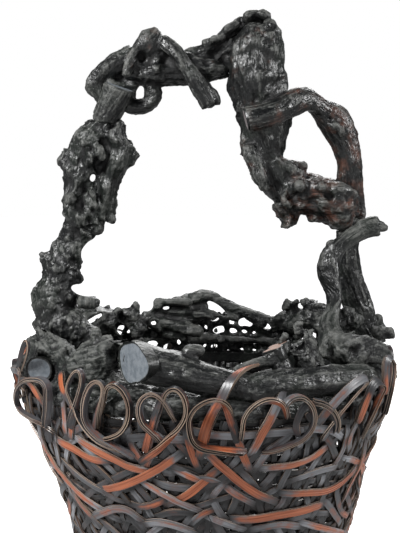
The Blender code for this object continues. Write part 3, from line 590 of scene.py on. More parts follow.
# Bold strips that show on the front: width in millimetres, orange from 0 to 1, and their
# middle line as pixels of the photograph
BOLD_STRIPS = (
    (5.6, 0.95, (48, 436), (58, 442), (70, 448), (84, 457), (96, 461), (112, 462)),
    (5.6, 1.0, (66, 434), (80, 443), (96, 452), (112, 460), (128, 468), (146, 472), (160, 474)),
    (5.6, 1.0, (84, 488), (98, 490), (116, 488), (136, 481), (156, 471), (172, 461), (186, 452)),
    (5.6, 1.0, (160, 508), (174, 503), (188, 495), (202, 484), (214, 474), (228, 464)),
    (5.8, 0.95, (198, 448), (212, 460), (228, 473), (244, 486), (262, 497), (284, 505)),
    (5.8, 1.0, (222, 520), (238, 521), (258, 520), (280, 516), (302, 512), (322, 506), (340, 500)),
    (5.6, 0.9, (276, 494), (292, 495), (310, 494), (328, 492), (344, 484), (358, 470), (368, 458)),
    (5.6, 0.85, (262, 470), (278, 468), (294, 466), (312, 460), (330, 448), (344, 438)),
    (5.6, 0.75, (34, 424), (38, 440), (47, 458), (60, 477), (76, 494), (94, 508), (112, 520)),
    (5.1, 0.55, (130, 478), (146, 486), (162, 495), (180, 504), (200, 512)),
    (5.1, 0.35, (196, 433), (216, 436), (240, 436), (266, 434), (292, 432)),
    (5.1, 0.7, (166, 468), (182, 474), (196, 480), (210, 486)),
    (4.8, 0.9, (186, 436), (189, 448), (194, 462), (199, 474)),
    (5.1, 0.9, (236, 432), (240, 446), (245, 460), (251, 474)),
    (5.6, 0.95, (281, 404), (272, 420), (263, 434), (256, 448), (250, 460)),
    (4.8, 0.8, (58, 404), (60, 416), (61, 430), (60, 442)),
    (4.8, 0.7, (72, 408), (70, 420), (68, 432), (66, 444)),
    (5.1, 0.6, (126, 434), (130, 446), (137, 458), (146, 468)),
    (5.1, 0.75, (150, 456), (145, 464), (142, 474), (140, 484)),
    (4.8, 0.2, (84, 424), (96, 438), (110, 450), (122, 458)),
    (5.1, 0.15, (120, 440), (140, 438), (160, 440), (184, 441)),
    (5.1, 0.1, (86, 462), (100, 474), (114, 490), (124, 504)),
    (5.1, 0.12, (60, 464), (74, 476), (90, 486), (110, 498), (128, 508)),
    (5.1, 0.25, (150, 482), (170, 488), (190, 490), (208, 492)),
    (5.1, 0.2, (150, 520), (168, 514), (188, 514), (206, 520)),
    (5.1, 0.55, (128, 506), (140, 508), (156, 504), (170, 496)),
    (5.1, 0.5, (96, 496), (104, 492), (114, 486), (122, 478)),
    (4.8, 0.45, (186, 484), (200, 480), (214, 482), (228, 490), (240, 500)),
    (4.8, 0.5, (212, 500), (218, 492), (226, 484), (236, 476)),
    (4.8, 0.65, (222, 484), (232, 492), (246, 500), (258, 506)),
    (4.8, 0.3, (252, 476), (262, 462), (270, 452), (282, 444)),
    (4.8, 0.4, (300, 430), (318, 430), (334, 432), (348, 440)),
    (4.8, 0.25, (300, 480), (314, 474), (328, 470), (344, 466)),
    (4.8, 0.2, (318, 424), (330, 440), (338, 456), (346, 470)),
    (4.8, 0.35, (352, 430), (348, 446), (340, 462), (330, 478)),
    (5.1, 0.75, (372, 440), (366, 458), (358, 476), (350, 494), (344, 510)),
    (4.8, 0.35, (362, 424), (356, 432), (352, 444), (354, 456)),
    (5.1, 0.6, (66, 488), (74, 500), (84, 512), (92, 522)),
    (5.1, 0.55, (84, 520), (98, 514), (112, 510), (126, 512), (142, 524)),
    (5.1, 0.6, (140, 526), (158, 524), (176, 528), (196, 536)),
    (5.1, 0.45, (260, 530), (282, 526), (304, 528), (326, 524)),
    (5.1, 0.3, (206, 508), (212, 520), (220, 532), (228, 544)),
    (5.1, 0.65, (190, 526), (198, 518), (210, 512), (220, 510)),
    (5.1, 0.5, (326, 500), (336, 512), (344, 526)),
    (5.1, 0.65, (300, 522), (322, 528), (344, 534), (360, 536)),
    (5.1, 0.2, (56, 452), (62, 440), (74, 430), (90, 424)),
    (5.1, 0.3, (238, 494), (236, 503), (232, 512), (229, 522)),
    (5.1, 0.3, (212, 500), (216, 508), (221, 516), (228, 524)),
    (5.1, 0.1, (256, 471), (268, 470), (280, 470), (292, 467)),
    (5.1, 0.15, (262, 492), (270, 482), (278, 472), (285, 462)),
    (5.1, 0.4, (202, 516), (216, 521), (230, 526), (246, 531)),
    (4.8, 0.15, (238, 468), (247, 477), (255, 486), (262, 496)),
    (5.1, 0.35, (296, 462), (290, 474), (284, 486), (280, 498)),
    (4.8, 0.1, (104, 506), (112, 496), (122, 486), (132, 478)),
    (5.1, 0.12, (314, 520), (322, 508), (328, 494), (332, 480)),
)

# How many strips of each kind go round the basket
ROUNDS = 21
UPRIGHTS = 84
LEANING = 60
OUTER_FILL = 300
TOP_ROUNDS = 5
WINDOW_ROUNDS = 14
WINDOW_UPRIGHTS = 40

# Where the lowest strips of each kind start
ROUNDS_FROM = 0.012
UPRIGHTS_FROM = 0.010
LEANING_FROM = 0.011
OUTER_FROM = 0.010

# Widths of the rounds and uprights, and of the rounds at the top
WALL_STRIP = 4.0 * MM
TOP_STRIP = 4.6 * MM

# The part of the wall that the photograph shows, where fewer strips are added to its own
FRONT_EDGE = math.radians(62)
FRONT_FROM = 0.088
FRONT_LEFT_OUT = 0.58

# The openwork at the back: from turn to turn, and from height to height
BACK_WINDOW = (math.radians(128), math.radians(232))
WINDOW_HEIGHT = 0.172
BACK_TOP = 0.252


def in_window(turn):
    return BACK_WINDOW[0] < turn % (2 * math.pi) < BACK_WINDOW[1]


def weave_rounds(rng):
    """Strips round the whole wall, more along its top in front, and those of the openwork."""
    strands = []
    for number in range(ROUNDS):
        level = ROUNDS_FROM + (WALL_TOP - 0.016) * (number + 0.5) / ROUNDS
        turns = np.linspace(-math.pi, math.pi, 150) + phase(rng)
        starts = [phase(rng) for _ in range(3)]
        wave = sum(np.sin(turns * k + start) / k for k, start in zip((2, 5, 9), starts))
        heights = level + wave * 3.2 * MM
        rank, shine, tint = rng.uniform(-0.2, 0.2), rng.uniform(0.0, 0.25), rng.random()
        strands.append(Strand(turns, heights, rank, shine, tint, "rounds", WALL_STRIP))
    for number in range(TOP_ROUNDS):
        turns = np.linspace(-1.5, 1.5, 80)
        wave = np.sin(turns * 6 + number * 2) * 1.2 * MM
        heights = WALL_TOP - (2.5 + 4.2 * number) * MM + wave
        strands.append(Strand(turns, heights, -0.6, 0.0, 0.2, "rounds", TOP_STRIP))
    for number in range(WINDOW_ROUNDS):
        share = (number + 0.5) / WINDOW_ROUNDS
        level = WINDOW_HEIGHT + (BACK_TOP - 4 * MM - WINDOW_HEIGHT) * share
        turns = np.linspace(BACK_WINDOW[0] - 0.04, BACK_WINDOW[1] + 0.04, 60)
        wave = np.sin(turns * rng.uniform(5, 11) + phase(rng)) * 1.6 * MM
        bow = np.sin((turns - turns[0]) / (turns[-1] - turns[0]) * math.pi) ** 0.5
        low = min(level, WALL_TOP - 6 * MM)
        heights = low + (level - low) * bow + wave
        rank, tint, width = rng.uniform(-0.3, 0.3), rng.random(), rng.uniform(3.4, 4.6) * MM
        strands.append(Strand(turns, heights, rank, 0.1, tint, "window", width, 3))
    return strands


def weave_uprights(rng):
    """Strips that stand in the wall, and those of the openwork."""
    strands = []
    for number in range(UPRIGHTS):
        turn = 2 * math.pi * (number + rng.uniform(-0.25, 0.25)) / UPRIGHTS
        lean = rng.uniform(-0.16, 0.16)
        top = WINDOW_HEIGHT + 4 * MM if in_window(turn) else WALL_TOP + 2 * MM
        t = np.linspace(0, 1, 40)
        wander = np.sin(t * rng.uniform(4, 8) + phase(rng)) * 0.02
        turns = turn + lean * (t - 0.5) + wander
        heights = UPRIGHTS_FROM + (top - UPRIGHTS_FROM) * t
        rank, shine, tint = rng.uniform(-0.2, 0.2), rng.uniform(0.0, 0.2), rng.random()
        strands.append(Strand(turns, heights, rank, shine, tint, "uprights", WALL_STRIP))
    for number in range(WINDOW_UPRIGHTS):
        share = (number + rng.uniform(0.2, 0.8)) / WINDOW_UPRIGHTS
        turn = BACK_WINDOW[0] + (BACK_WINDOW[1] - BACK_WINDOW[0]) * share
        t = np.linspace(0, 1, 20)
        turns = turn + rng.uniform(-0.10, 0.10) * (t - 0.5)
        heights = WINDOW_HEIGHT - 6 * MM + (BACK_TOP - WINDOW_HEIGHT + 6 * MM) * t
        rank, tint, width = rng.uniform(-0.3, 0.3), rng.random(), rng.uniform(3.0, 4.4) * MM
        strands.append(Strand(turns, heights, rank, 0.0, tint, "window", width, 3))
    return strands


def weave_leaning(rng, side):
    """Strips that climb round the wall, all to one side."""
    strands = []
    for number in range(LEANING):
        turn = 2 * math.pi * (number + rng.uniform(-0.3, 0.3)) / LEANING
        sweep = side * rng.uniform(0.55, 1.15)
        finish = turn + sweep
        top = WALL_TOP - rng.uniform(0, 0.012)
        if in_window(finish) or in_window(finish - side * 0.2):
            top = WINDOW_HEIGHT + rng.uniform(-0.02, 0.004)
        t = np.linspace(0, 1, 50)
        bend = rng.uniform(-0.12, 0.12)
        turns = turn + sweep * t + bend * np.sin(t * math.pi)
        heights = LEANING_FROM + (top - LEANING_FROM) * t
        rank = 0.35 + 0.25 * np.sin(t * rng.uniform(5, 9) + phase(rng))
        shine = rng.choice((0.1, 0.2, 0.5)) * (0.6 + 0.4 * np.sin(t * 12 + number))
        strands.append(Strand(turns, heights, rank, shine, rng.random(), "leaning"))
    return strands


def weave_bold(rng):
    """Bold strips from the photograph, each run on a little way under its neighbours."""
    strands = []
    for number, (width, orange, *pixels) in enumerate(BOLD_STRIPS):
        path = smooth_path([wall_place(u, v) for u, v in pixels], 8)
        ahead = (path[0] - path[3], path[-1] - path[-4])
        stretch = [9 * MM / max(np.hypot(d[0] * 0.13, d[1]), MM) for d in ahead]
        path = np.vstack([path[0] + ahead[0] * stretch[0], path, path[-1] + ahead[1] * stretch[1]])
        peak = 2.2 + 0.9 * min(orange, 0.9) + 0.25 * math.sin(number * 2.4)
        rank = ends_under(len(path), peak, 0.2, 0.2)
        shine = ends_under(len(path), orange, orange * 0.25, 0.35)
        tint = 0.25 + 0.6 * rng.random()
        strands.append(Strand(*path.T, rank, shine, tint, "bold", width * MM))
    return strands


def weave_outer(rng):
    """Strips like the bold ones, where the photograph has none."""
    strands = []
    made = 0
    while made < OUTER_FILL:
        turn = rng.uniform(0, 2 * math.pi)
        height = rng.uniform(0.012, WALL_TOP - 0.008)
        on_front = math.cos(turn) > math.cos(FRONT_EDGE) and height > FRONT_FROM
        if on_front and rng.random() < FRONT_LEFT_OUT:
            made += 1
            continue
        length = rng.uniform(0.060, 0.130)
        slope = math.radians(rng.choice((-1, 1)) * rng.triangular(4, 70, 24))
        bend = rng.uniform(-14, 14)
        t = np.linspace(-0.5, 0.5, 16)
        angle = slope + bend * t * length * 1.2
        dx = np.cumsum(np.cos(angle)) * length / len(t)
        dz = np.cumsum(np.sin(angle)) * length / len(t)
        turns = turn + (dx - dx.mean()) / wall_radius(np.array(height))
        heights = height + dz - dz.mean()
        if heights.min() < OUTER_FROM or heights.max() > WALL_TOP + 1 * MM:
            continue
        if in_window(turn) and heights.max() > WINDOW_HEIGHT + 0.004:
            continue
        orange = rng.choice((0.05, 0.1, 0.2, 0.5, 0.8, 0.95))
        if on_front:
            orange = rng.choice((0.0, 0.05, 0.15, 0.3))
        peak = rng.uniform(0.9, 1.6) if on_front else rng.uniform(1.4, 3.0)
        rank = ends_under(len(t), peak, 0.1, 0.3)
        shine = ends_under(len(t), orange, orange * 0.3, 0.35)
        strands.append(Strand(turns, heights, rank, shine, rng.random(), "fill"))
        made += 1
    return strands


# How the strips settle: how near two lie where they meet, as a share of a strip's width, how many
# points may be missing in one meeting, and the difference in rank that says which is on top
MEETING_REACH = 0.92
MEETING_GAP = 4
PLAIN_RANK = 0.45
# Then the rank that lies on the wall, how far out one more rank lies and what is left between
# strips in millimetres, how often they are bent, how strongly they straighten, keep to their rank
# and part, and the deepest and farthest that they lie in millimetres
WALL_RANK = 1.6
RANK_RISE = 1.15
STRIP_GAP = 0.15
SETTLING_ROUNDS = 140
STRAIGHTENING = 0.55
KEEPING = 0.03
PARTING_PUSH = 1.4
DEEPEST = -4.5
FARTHEST = 4.2


def contacts_of(places, owner, rank):
    """Pairs of points where two strips lie over one another, with which of them is on top."""
    tree = tree_of(places)
    reach = STRIP_WIDTH * MEETING_REACH
    meetings = {}
    for index, place in enumerate(places):
        mine = owner[index]
        for _, other, _ in tree.find_range(place, reach):
            if owner[other] > mine:
                meetings.setdefault((mine, owner[other]), []).append((index, other))
    last = {}
    uppers = []
    lowers = []
    for (mine, theirs), pairs in meetings.items():
        pairs.sort()
        group = [pairs[0]]
        groups = [group]
        for pair in pairs[1:]:
            if pair[0] - group[-1][0] > MEETING_GAP:
                group = []
                groups.append(group)
            group.append(pair)
        for group in groups:
            higher = np.mean([rank[a] - rank[b] for a, b in group])
            if abs(higher) > PLAIN_RANK:
                over = higher > 0
            else:
                balance = last.get(theirs, 0) - last.get(mine, 0)
                over = balance > 0 if balance else (mine * 7 + theirs * 13 + group[0][0]) % 2 == 0
            last[mine] = 1 if over else -1
            last[theirs] = -last[mine]
            for a, b in group:
                uppers.append(a if over else b)
                lowers.append(b if over else a)
    return np.array(uppers), np.array(lowers)


def relaxed(strands):
    """How far each point stands off the wall and is covered, and where each strip's points start."""
    sizes = [len(item.turns) for item in strands]
    starts = np.concatenate([[0], np.cumsum(sizes)])
    owner = np.repeat(np.arange(len(strands)), sizes)
    turns = np.concatenate([item.turns for item in strands])
    heights = np.concatenate([item.heights for item in strands])
    rank = np.concatenate([item.rank for item in strands])
    plies = np.repeat([item.plies for item in strands], sizes)
    places, _ = on_wall(turns, heights, np.zeros(len(turns)))
    uppers, lowers = contacts_of(places, owner, rank)
    level = (rank - WALL_RANK) * RANK_RISE * MM
    stand = level.copy()
    need = (plies[uppers] + plies[lowers]) / 2 * PLY_PITCH + STRIP_GAP * MM
    inner = np.ones(len(stand), bool)
    inner[starts[:-1]] = False
    inner[starts[1:] - 1] = False
    meet = np.bincount(uppers, minlength=len(stand)) + np.bincount(lowers, minlength=len(stand))
    meet = np.maximum(meet, 1)
    for _ in range(SETTLING_ROUNDS):
        bend = np.zeros(len(stand))
        bend[1:-1] = (stand[:-2] + stand[2:]) / 2 - stand[1:-1]
        stand = stand + np.where(inner, bend, 0) * STRAIGHTENING + (level - stand) * KEEPING
        short = np.maximum(need - (stand[uppers] - stand[lowers]), 0) / 2
        push = np.bincount(uppers, short, len(stand)) - np.bincount(lowers, short, len(stand))
        stand = stand + push / meet * PARTING_PUSH
    stand = np.clip(stand, DEEPEST * MM, FARTHEST * MM)
    covered = np.zeros(len(stand))
    above = stand[uppers] > stand[lowers]
    np.maximum.at(covered, lowers[above], 1.0)
    for _ in range(2):
        soft = covered.copy()
        soft[1:-1] = (covered[:-2] + covered[2:]) / 4 + covered[1:-1] / 2
        covered = np.where(inner, soft, covered)
    return stand, covered, starts


def round_holes(places):
    """A strip's places, bent to pass beside the holes of the openwork instead of over them."""
    u, v, ahead = in_photo(places)
    behind = places[:, 1] > BACK_FROM
    new_u, new_v = u.copy(), v.copy()
    for _ in range(3):
        for middle_u, middle_v, half_wide, half_tall, tilt in BACK_HOLES:
            hole = (middle_u, middle_v, half_wide + HOLE_MARGIN, half_tall + HOLE_MARGIN, tilt)
            right, down = in_hole(new_u, new_v, hole)
            inside = np.nonzero(behind & (right**2 + down**2 < 1))[0]
            if not len(inside):
                continue
            for run in np.split(inside, np.nonzero(np.diff(inside) > 1)[0] + 1):
                first, last = max(run[0] - 2, 0), min(run[-1] + 2, len(u) - 1)
                level = abs(u[last] - u[first]) > abs(v[last] - v[first])
                if level:
                    side = 1 if down[run].mean() > 0 else -1
                    reach = np.sqrt(1 - np.minimum(right[run] ** 2, 1))
                    new_v[run] = middle_v + side * reach * hole[3]
                else:
                    side = 1 if right[run].mean() > 0 else -1
                    reach = np.sqrt(1 - np.minimum(down[run] ** 2, 1))
                    new_u[run] = middle_u + side * reach * hole[2]
    shift = np.stack([new_u - u, v - new_v], 1)
    shift[1:-1] = shift[:-2] / 4 + shift[1:-1] / 2 + shift[2:] / 4
    shift *= (ahead / FOCAL_PIXELS)[:, None]
    upright = np.array([0, math.sin(CAMERA_TILT), math.cos(CAMERA_TILT)])
    return places + shift[:, :1] * np.array([1, 0, 0]) + shift[:, 1:] * upright


def add_skin(item, name, voxel):
    """A modifier that fuses a piece into one closed skin."""
    skin = item.modifiers.new(name, "REMESH")
    skin.mode = "VOXEL"
    skin.voxel_size = voxel


def soften(item, factor, rounds):
    softened = item.modifiers.new("softened", "SMOOTH")
    softened.factor = factor
    softened.iterations = rounds


def fuse_openwork(item):
    """Strips stuck together with old lacquer, so that the holes between them are rounded."""
    item.data.attributes.remove(item.data.attributes["strip"])
    add_skin(item, "skin", (0.9 if HEAVY else 1.2) * MM)
    soften(item, 0.6, 10)
    swollen = item.modifiers.new("swollen", "DISPLACE")
    swollen.strength = 0.4 * MM
    swollen.mid_level = 0
    settle(item)
    mesh = item.data
    mark_points(mesh, "wood", np.tile([0.5, 0.0, 0.15, 1.0], (len(mesh.vertices), 1)))
    mark_points(mesh, "grain", points_of(mesh))
    mesh.materials.clear()
    mesh.materials.append(LACQUERED_STRIP)
    mesh.shade_smooth()


# The weave's pieces by the kind of their strips, and the CAD nodes that two of them stand for
WEAVE_PIECES = {
    "rounds": "weave_rounds",
    "uprights": "weave_uprights",
    "leaning_0": "weave_leaning_a",
    "leaning_1": "weave_leaning_b",
    "bold": "bold_strips",
    "fill_0": "outer_strips_a",
    "fill_1": "outer_strips_b",
    "window": "back_openwork",
}
WEAVE_NODES = {
    "rounds": ["woven_wall"],
    "bold": [name for name in nodes if name.startswith("outer_strip_")],
}
# How far the strips lie in from where they settled, in millimetres
WEAVE_IN = 2.2


def build_weave():
    """All strips of the wall. Strips that lie deep or under others get painted shade and are less
    orange.
    """
    rng = random.Random(7)
    strands = weave_rounds(rng) + weave_uprights(rng)
    strands += weave_leaning(rng, 1) + weave_leaning(rng, -1)
    strands += weave_bold(rng) + weave_outer(rng)
    stand, covered, starts = relaxed(strands)
    bundles = {}
    for number, item in enumerate(strands):
        span = slice(starts[number], starts[number + 1])
        places, normals = on_wall(item.turns, item.heights, stand[span] - WEAVE_IN * MM)
        places = round_holes(places)
        kind = item.kind
        if kind in ("leaning", "fill"):
            kind = f"{kind}_{number % 2}"
        depth = np.clip((stand[span] + 1.2 * MM) / (3.2 * MM), 0, 1)
        # Painted shade where a strip lies under another or deep in the wall, more on the rounds and
        # uprights beneath
        shade = covered[span] * 0.58 + (1 - depth) * 0.62 - 0.14
        if kind in ("rounds", "uprights"):
            shade = shade + 0.12
        shade = np.clip(shade, 0, 1)
        shine = item.shine * (0.35 + 0.65 * depth)
        twists = np.full(len(places), rng.uniform(-0.12, 0.12))
        bundle = bundles.setdefault(kind, Bundle())
        marks = (shine, shade, item.tint)
        bundle.lay(places, normals, twists, item.width, item.plies, PLY_PITCH, *marks, rng)
    for kind, bundle in bundles.items():
        slot = "orange_bamboo" if kind == "bold" else "woven_bamboo"
        item = bundle.make(WEAVE_PIECES[kind], *WEAVE_NODES.get(kind, []), slot=slot)
        if kind == "window":
            fuse_openwork(item)


# Loops at the rim. How far one that stands on edge is turned, how far apart its points are, and
# its share at each end that gets painted shade
EDGE = 1.45
LOOP_STEP = 2.0 * MM
LOOP_ENDS = 0.12
# Each loop: plies, width in millimetres, orange from 0 to 1, and places as a pixel of the
# photograph, how far it stands out from the wall in millimetres, and how far it is turned on edge
FRONT_LOOPS = (
    (
        3, 4.6, 0.55,
        (50, 442, 0, 0.3), (46.5, 426, 3, 0.8), (47, 412, 6, 1.0), (47.6, 398, 8, 1),
        (46.8, 387, 9, 1), (42, 381, 8, 1), (33, 379.5, 7, 1), (24, 381.5, 7, 0.9),
        (17.8, 389, 7, 0.8), (16.8, 401, 6, 0.8), (22, 412, 5, 0.8), (32, 419, 3, 0.9),
        (43, 424, 2, 0.7), (54, 432, -1, 0.3),
    ),
    (
        2, 5.4, 0.75,
        (22, 380.5, 5, 0.2), (28, 382, 5, 0.1), (34, 389.5, 4, 0), (39.5, 398, 3, 0),
        (45, 408, 1, 0),
    ),
    (
        2, 4.4, 0.35,
        (70, 428, 0, 0.3), (72.5, 415, 3, 0.8), (76, 404, 6, 1), (80, 392, 8, 1), (82.3, 382, 9, 1),
        (81.8, 373.5, 9, 1), (78.6, 370, 9, 1), (74.2, 372.4, 9, 1), (70, 380, 8, 1),
        (67.4, 389, 7, 0.8), (69, 398, 6, 0.6), (74, 408, 5, 0.8), (79.5, 419, 4, 1),
        (87.5, 431, 4, 1), (99, 441.5, 3, 1), (114, 449, 2, 0.9), (128, 454, -1, 0.4),
    ),
    (
        2, 4.6, 1.0,
        (61, 371, 1, 0), (61.2, 380, 4, 0), (62.3, 388, 6, 0), (65.8, 396, 6, 0), (71, 404.5, 4, 0),
        (76, 413, 1, 0),
    ),
    (
        4, 4.6, 0.35,
        (134, 457, -1, 0.4), (122, 451, 2, 0.8), (110, 445, 4, 1), (98.5, 437.5, 5, 1),
        (89.5, 429, 6, 1), (84.6, 420, 7, 1), (83.4, 410, 8, 1), (85, 398, 9, 1), (89, 388, 9, 1),
        (94, 382.6, 9, 1), (99, 382, 8, 1), (103, 386.5, 7, 1), (103, 395, 6, 0.9),
        (100, 406, 4, 0.7), (97.4, 416, 3, 0.5), (96, 428, 1, 0.2),
    ),
    (
        3, 4.8, 0.40,
        (102, 440, 1, 0.6), (112, 436.5, 4, 0.9), (121, 431.5, 6, 1), (127.4, 423, 8, 1),
        (129.8, 412, 9, 1), (128.6, 401.5, 9, 1), (124.4, 392.5, 9, 1), (118.6, 386.5, 9, 1),
        (112.6, 384.6, 8, 1), (107.6, 388, 6, 0.9), (104.4, 395, 4, 0.6), (101.4, 405, 2, 0.3),
        (98, 416, 1, 0),
    ),
    (
        3, 4.4, 0.45,
        (166, 446, 0, 0.4), (158, 438.5, 4, 0.9), (150, 431.5, 6, 1), (142.5, 424, 7, 1),
        (138.8, 414, 8, 1), (139.4, 404, 9, 1), (144, 397, 9, 1), (151, 393.6, 9, 1),
        (158, 396, 9, 1), (164.4, 402, 7, 1), (170, 411, 4, 1), (175, 421, 1, 0.8),
    ),
    (
        3, 4.8, 0.85,
        (140, 462, -1, 0), (149, 456, 2, 0), (159, 448, 5, 0.3), (169, 438, 7, 0.6),
        (178, 428, 8, 1), (184.4, 418, 9, 1), (186, 408, 10, 1), (183.6, 398, 10, 1),
        (178.8, 391, 10, 1), (172.6, 389, 10, 1), (167, 393, 9, 1), (163, 399, 7, 0.7),
        (159.6, 406, 6, 0.3), (156, 416, 4, 0.2), (152.6, 427, 3, 0.2), (149, 440, 1, 0.1),
        (146, 452, 0, 0),
    ),
    (
        3, 4.6, 0.60,
        (246, 452, -1, 0.5), (232, 452, 2, 0.8), (216, 450.5, 4, 1), (202, 447.6, 5, 1),
        (193.6, 441, 6, 1), (190.2, 430, 7, 1), (190.2, 419, 8, 1), (195.4, 409.4, 9, 1),
        (204, 403.2, 9, 1), (213.6, 400.4, 9, 1), (222, 402.4, 8, 0.9), (226.6, 409, 7, 0.5),
        (229.6, 419, 5, 0.1), (233.4, 431, 2, 0), (237, 442, -1, 0),
    ),
    (
        3, 4.6, 0.85,
        (241, 440, 0, 0.8), (242, 430, 4, 0.9), (243.4, 419, 7, 1), (248.6, 410.4, 8, 0.9),
        (256.4, 404.4, 9, 0.75), (266, 400.8, 10, 0.6), (275, 401, 10, 0.6), (282, 404.4, 9, 0.8),
        (285.6, 410, 7, 1), (287, 418, 4, 1),
    ),
    (
        3, 4.4, 0.75,
        (262, 452.5, -1, 0.7), (274, 450.4, 2, 0.9), (288, 446, 5, 0.9), (301, 440, 7, 0.9),
        (310, 431.4, 8, 0.9), (314, 421, 9, 1), (313, 409.6, 10, 1), (308, 401.4, 10, 1),
        (300.6, 397, 10, 1), (292.6, 397.8, 10, 0.9), (287, 402, 9, 0.8), (282, 407, 7, 0.8),
    ),
    (
        2, 4.4, 0.15,
        (308, 403.6, 9, 0.5), (303.4, 409.4, 7, 0.5), (299.6, 417, 5, 0.5), (297.2, 426, 4, 0.6),
        (299, 436, 2, 0.6),
    ),
    (
        4, 4.2, 0.30,
        (336, 432, -1, 0.7), (336.4, 422, 3, 1), (333, 413, 6, 1), (327.4, 407, 8, 1),
        (320.4, 403.4, 9, 1), (313, 402, 9, 1),
    ),
    (
        2, 6.0, 0.30,
        (322, 440, -2, 0.2), (333, 424, 0, 0.4), (346, 407.6, 3, 0.5), (358, 393.6, 6, 0.5),
        (366, 384.6, 9, 0.6), (367.4, 380, 11, 0.5), (362.6, 379.2, 13, 0.35),
        (353.4, 384.6, 14, 0.3), (343, 394, 13, 0.3), (334, 403.4, 11, 0.3), (325.4, 413.6, 7, 0.2),
        (318, 424, 1, 0.1),
    ),
    (
        3, 5.4, 0.80,
        (362, 438, -2, 0.3), (368, 424, 1, 0.5), (373.6, 410, 4, 0.7), (379, 396.6, 7, 0.8),
        (382.4, 388, 9, 0.8), (381.4, 382.8, 11, 0.6), (376, 381.4, 12, 0.35),
        (371, 387.6, 12, 0.25), (367, 397.6, 10, 0.2), (362.6, 409, 6, 0.15), (357.6, 423, 1, 0),
    ),
    (
        3, 4.6, 0.55,
        (384, 414, 2, 0.5), (388, 400, 4, 0.5), (391.4, 386, 6, 0.5), (393.6, 372, 8, 0.5),
        (393.4, 362, 9, 0.5), (389.6, 358, 9, 0.5), (386.6, 364, 7, 0.4), (386, 378, 4, 0.3),
        (385, 394, 1, 0.2),
    ),
    (
        2, 3.6, 0.20,
        (17, 372, 3, 0.4), (19, 362, 5, 0.5), (21.6, 351, 6, 0.6), (25.4, 343, 6, 0.7),
        (28.4, 342.4, 5, 0.7), (28.6, 350, 4, 0.6), (25.6, 360, 3, 0.5), (22, 370, 2, 0.4),
    ),
    (2, 5.0, 0.25, (12, 369, 5, 0.2), (18, 371, 6, 0.1), (20, 378, 5, 0.1), (18, 388, 2, 0.1)),
)
# Loops round the sides and the back, which the photograph doesn't show: turn in degrees, size
# and height over the wall's top in millimetres, and how tall the loop is for its width
HIDDEN_LOOPS = (
    (103, 10, 3, 1.5), (115, 14, 3, 1.2), (128, 16, 2, 1.0), (142, 13, 3, 1.1), (162, 11, -4, 1.1),
    (182, 12, -3, 1.0), (198, 14, 1, 1.1), (213, 15, 1, 1.0), (230, 14, 3, 1.2), (244, 15, 3, 1.0),
    (256, 12, 3, 1.2), (266, 10, 2, 1.0),
)
# The strip that is wrapped over the front branch: pixel and depth in millimetres from the middle
WRAP_STRIP = (
    (252, 372, -104), (258, 367, -110), (256.5, 365.4, -119), (246, 368.5, -133), (237, 374, -141),
    (230.4, 381.4, -145), (225.2, 390, -146.5), (220.6, 399.6, -147), (215, 409, -147),
    (209.6, 420.4, -147), (205.4, 432, -146.5), (202.6, 444, -145), (200, 458, -138),
)
# The direction across it
WRAP_SIDE = (0.90, -0.25, 0.30)


def lay_loop(bundle, places, normals, twists, plies, width, orange, rng):
    path = np.column_stack([places, normals, twists])
    even = evened(path, places, LOOP_STEP)
    share = np.linspace(0, 1, len(even))
    ends = np.clip(np.minimum(share, 1 - share) / LOOP_ENDS, 0, 1)
    shine = orange * (0.55 + 0.45 * np.sin(share * rng.uniform(7, 12) + phase(rng)))
    # Painted shade on the ends, where the loop goes into the wall
    shade = 0.55 * (1 - ends)
    tint = rng.uniform(0.1, 0.6)
    places, normals, twists = even[:, :3], even[:, 3:6], even[:, 6]
    bundle.lay(places, normals, twists, width, plies, LOOP_PITCH, shine, shade, tint, rng, 0.5)


def loop_path(rows):
    """A front loop's places on their sight lines, with directions out of the wall and twists."""
    camera = np.array(CAMERA_PLACE)
    path = []
    for u, v, stand, turned in rows:
        ray = np.array(sight(u, v))
        turn, height = wall_place(u, v)
        place, normal = on_wall(np.array([turn]), np.array([height]), np.array([stand * MM]))
        place = camera + ray * np.dot(place[0] - camera, ray)
        path.append([*place, *normal[0], turned * EDGE])
    return smooth_path(path, 8)


def build_loops():
    rng = random.Random(11)
    shown = Bundle()
    for plies, width, orange, *rows in FRONT_LOOPS:
        path = loop_path(rows)
        lay_loop(shown, path[:, :3], path[:, 3:6], path[:, 6], plies, width * MM, orange, rng)
    fronts = [f"rim_loop_{number:02d}" for number in range(1, 11)]
    shown.make("mouth_loops_front", *fronts, slot="looped_bamboo")

    hidden = Bundle()
    for degrees, size, lift, tall in HIDDEN_LOOPS:
        lap = np.linspace(-0.20, 1.20, 26)
        angle = np.radians(-90 + 360 * np.clip(lap, 0, 1))
        past = np.where(lap < 0, lap, np.where(lap > 1, lap - 1, 0)) * 5
        across = size * MM * (np.cos(angle) + past * 1.1)
        up = size * MM * (tall * np.sin(angle) - past * past * 0.9)
        heights = WALL_TOP + lift * MM + up
        stand = (2.2 + 5.5 * np.clip(lap, 0, 1) - 2.5 * np.abs(past)) * MM
        turns = math.radians(degrees) + across / MOUTH_RADIUS
        places, normals = on_wall(turns, heights, stand)
        twists = EDGE * np.clip(1.15 - np.abs(past) * 1.3, 0, 1)
        plies = rng.choice((2, 3, 3, 4))
        lay_loop(hidden, places, normals, twists, plies, STRIP_WIDTH, rng.choice((0.3, 0.6, 0.9)), rng)
    backs = [f"rim_loop_{number:02d}" for number in range(11, 17)]
    hidden.make("mouth_loops_back", *backs, slot="looped_bamboo")

    wrap = Bundle()
    path = smooth_path([at(u, v, depth * MM) for u, v, depth in WRAP_STRIP], 8)
    normals = unit(np.cross(np.gradient(path, axis=0), WRAP_SIDE))
    normals *= np.sign(-normals[:, 1:2].mean())
    lay_loop(wrap, path, normals, np.zeros(len(path)), 3, 6.2 * MM, 1.0, rng)
    wrap.make("branch_wrap", "branch_wrap_strip", slot="orange_bamboo")


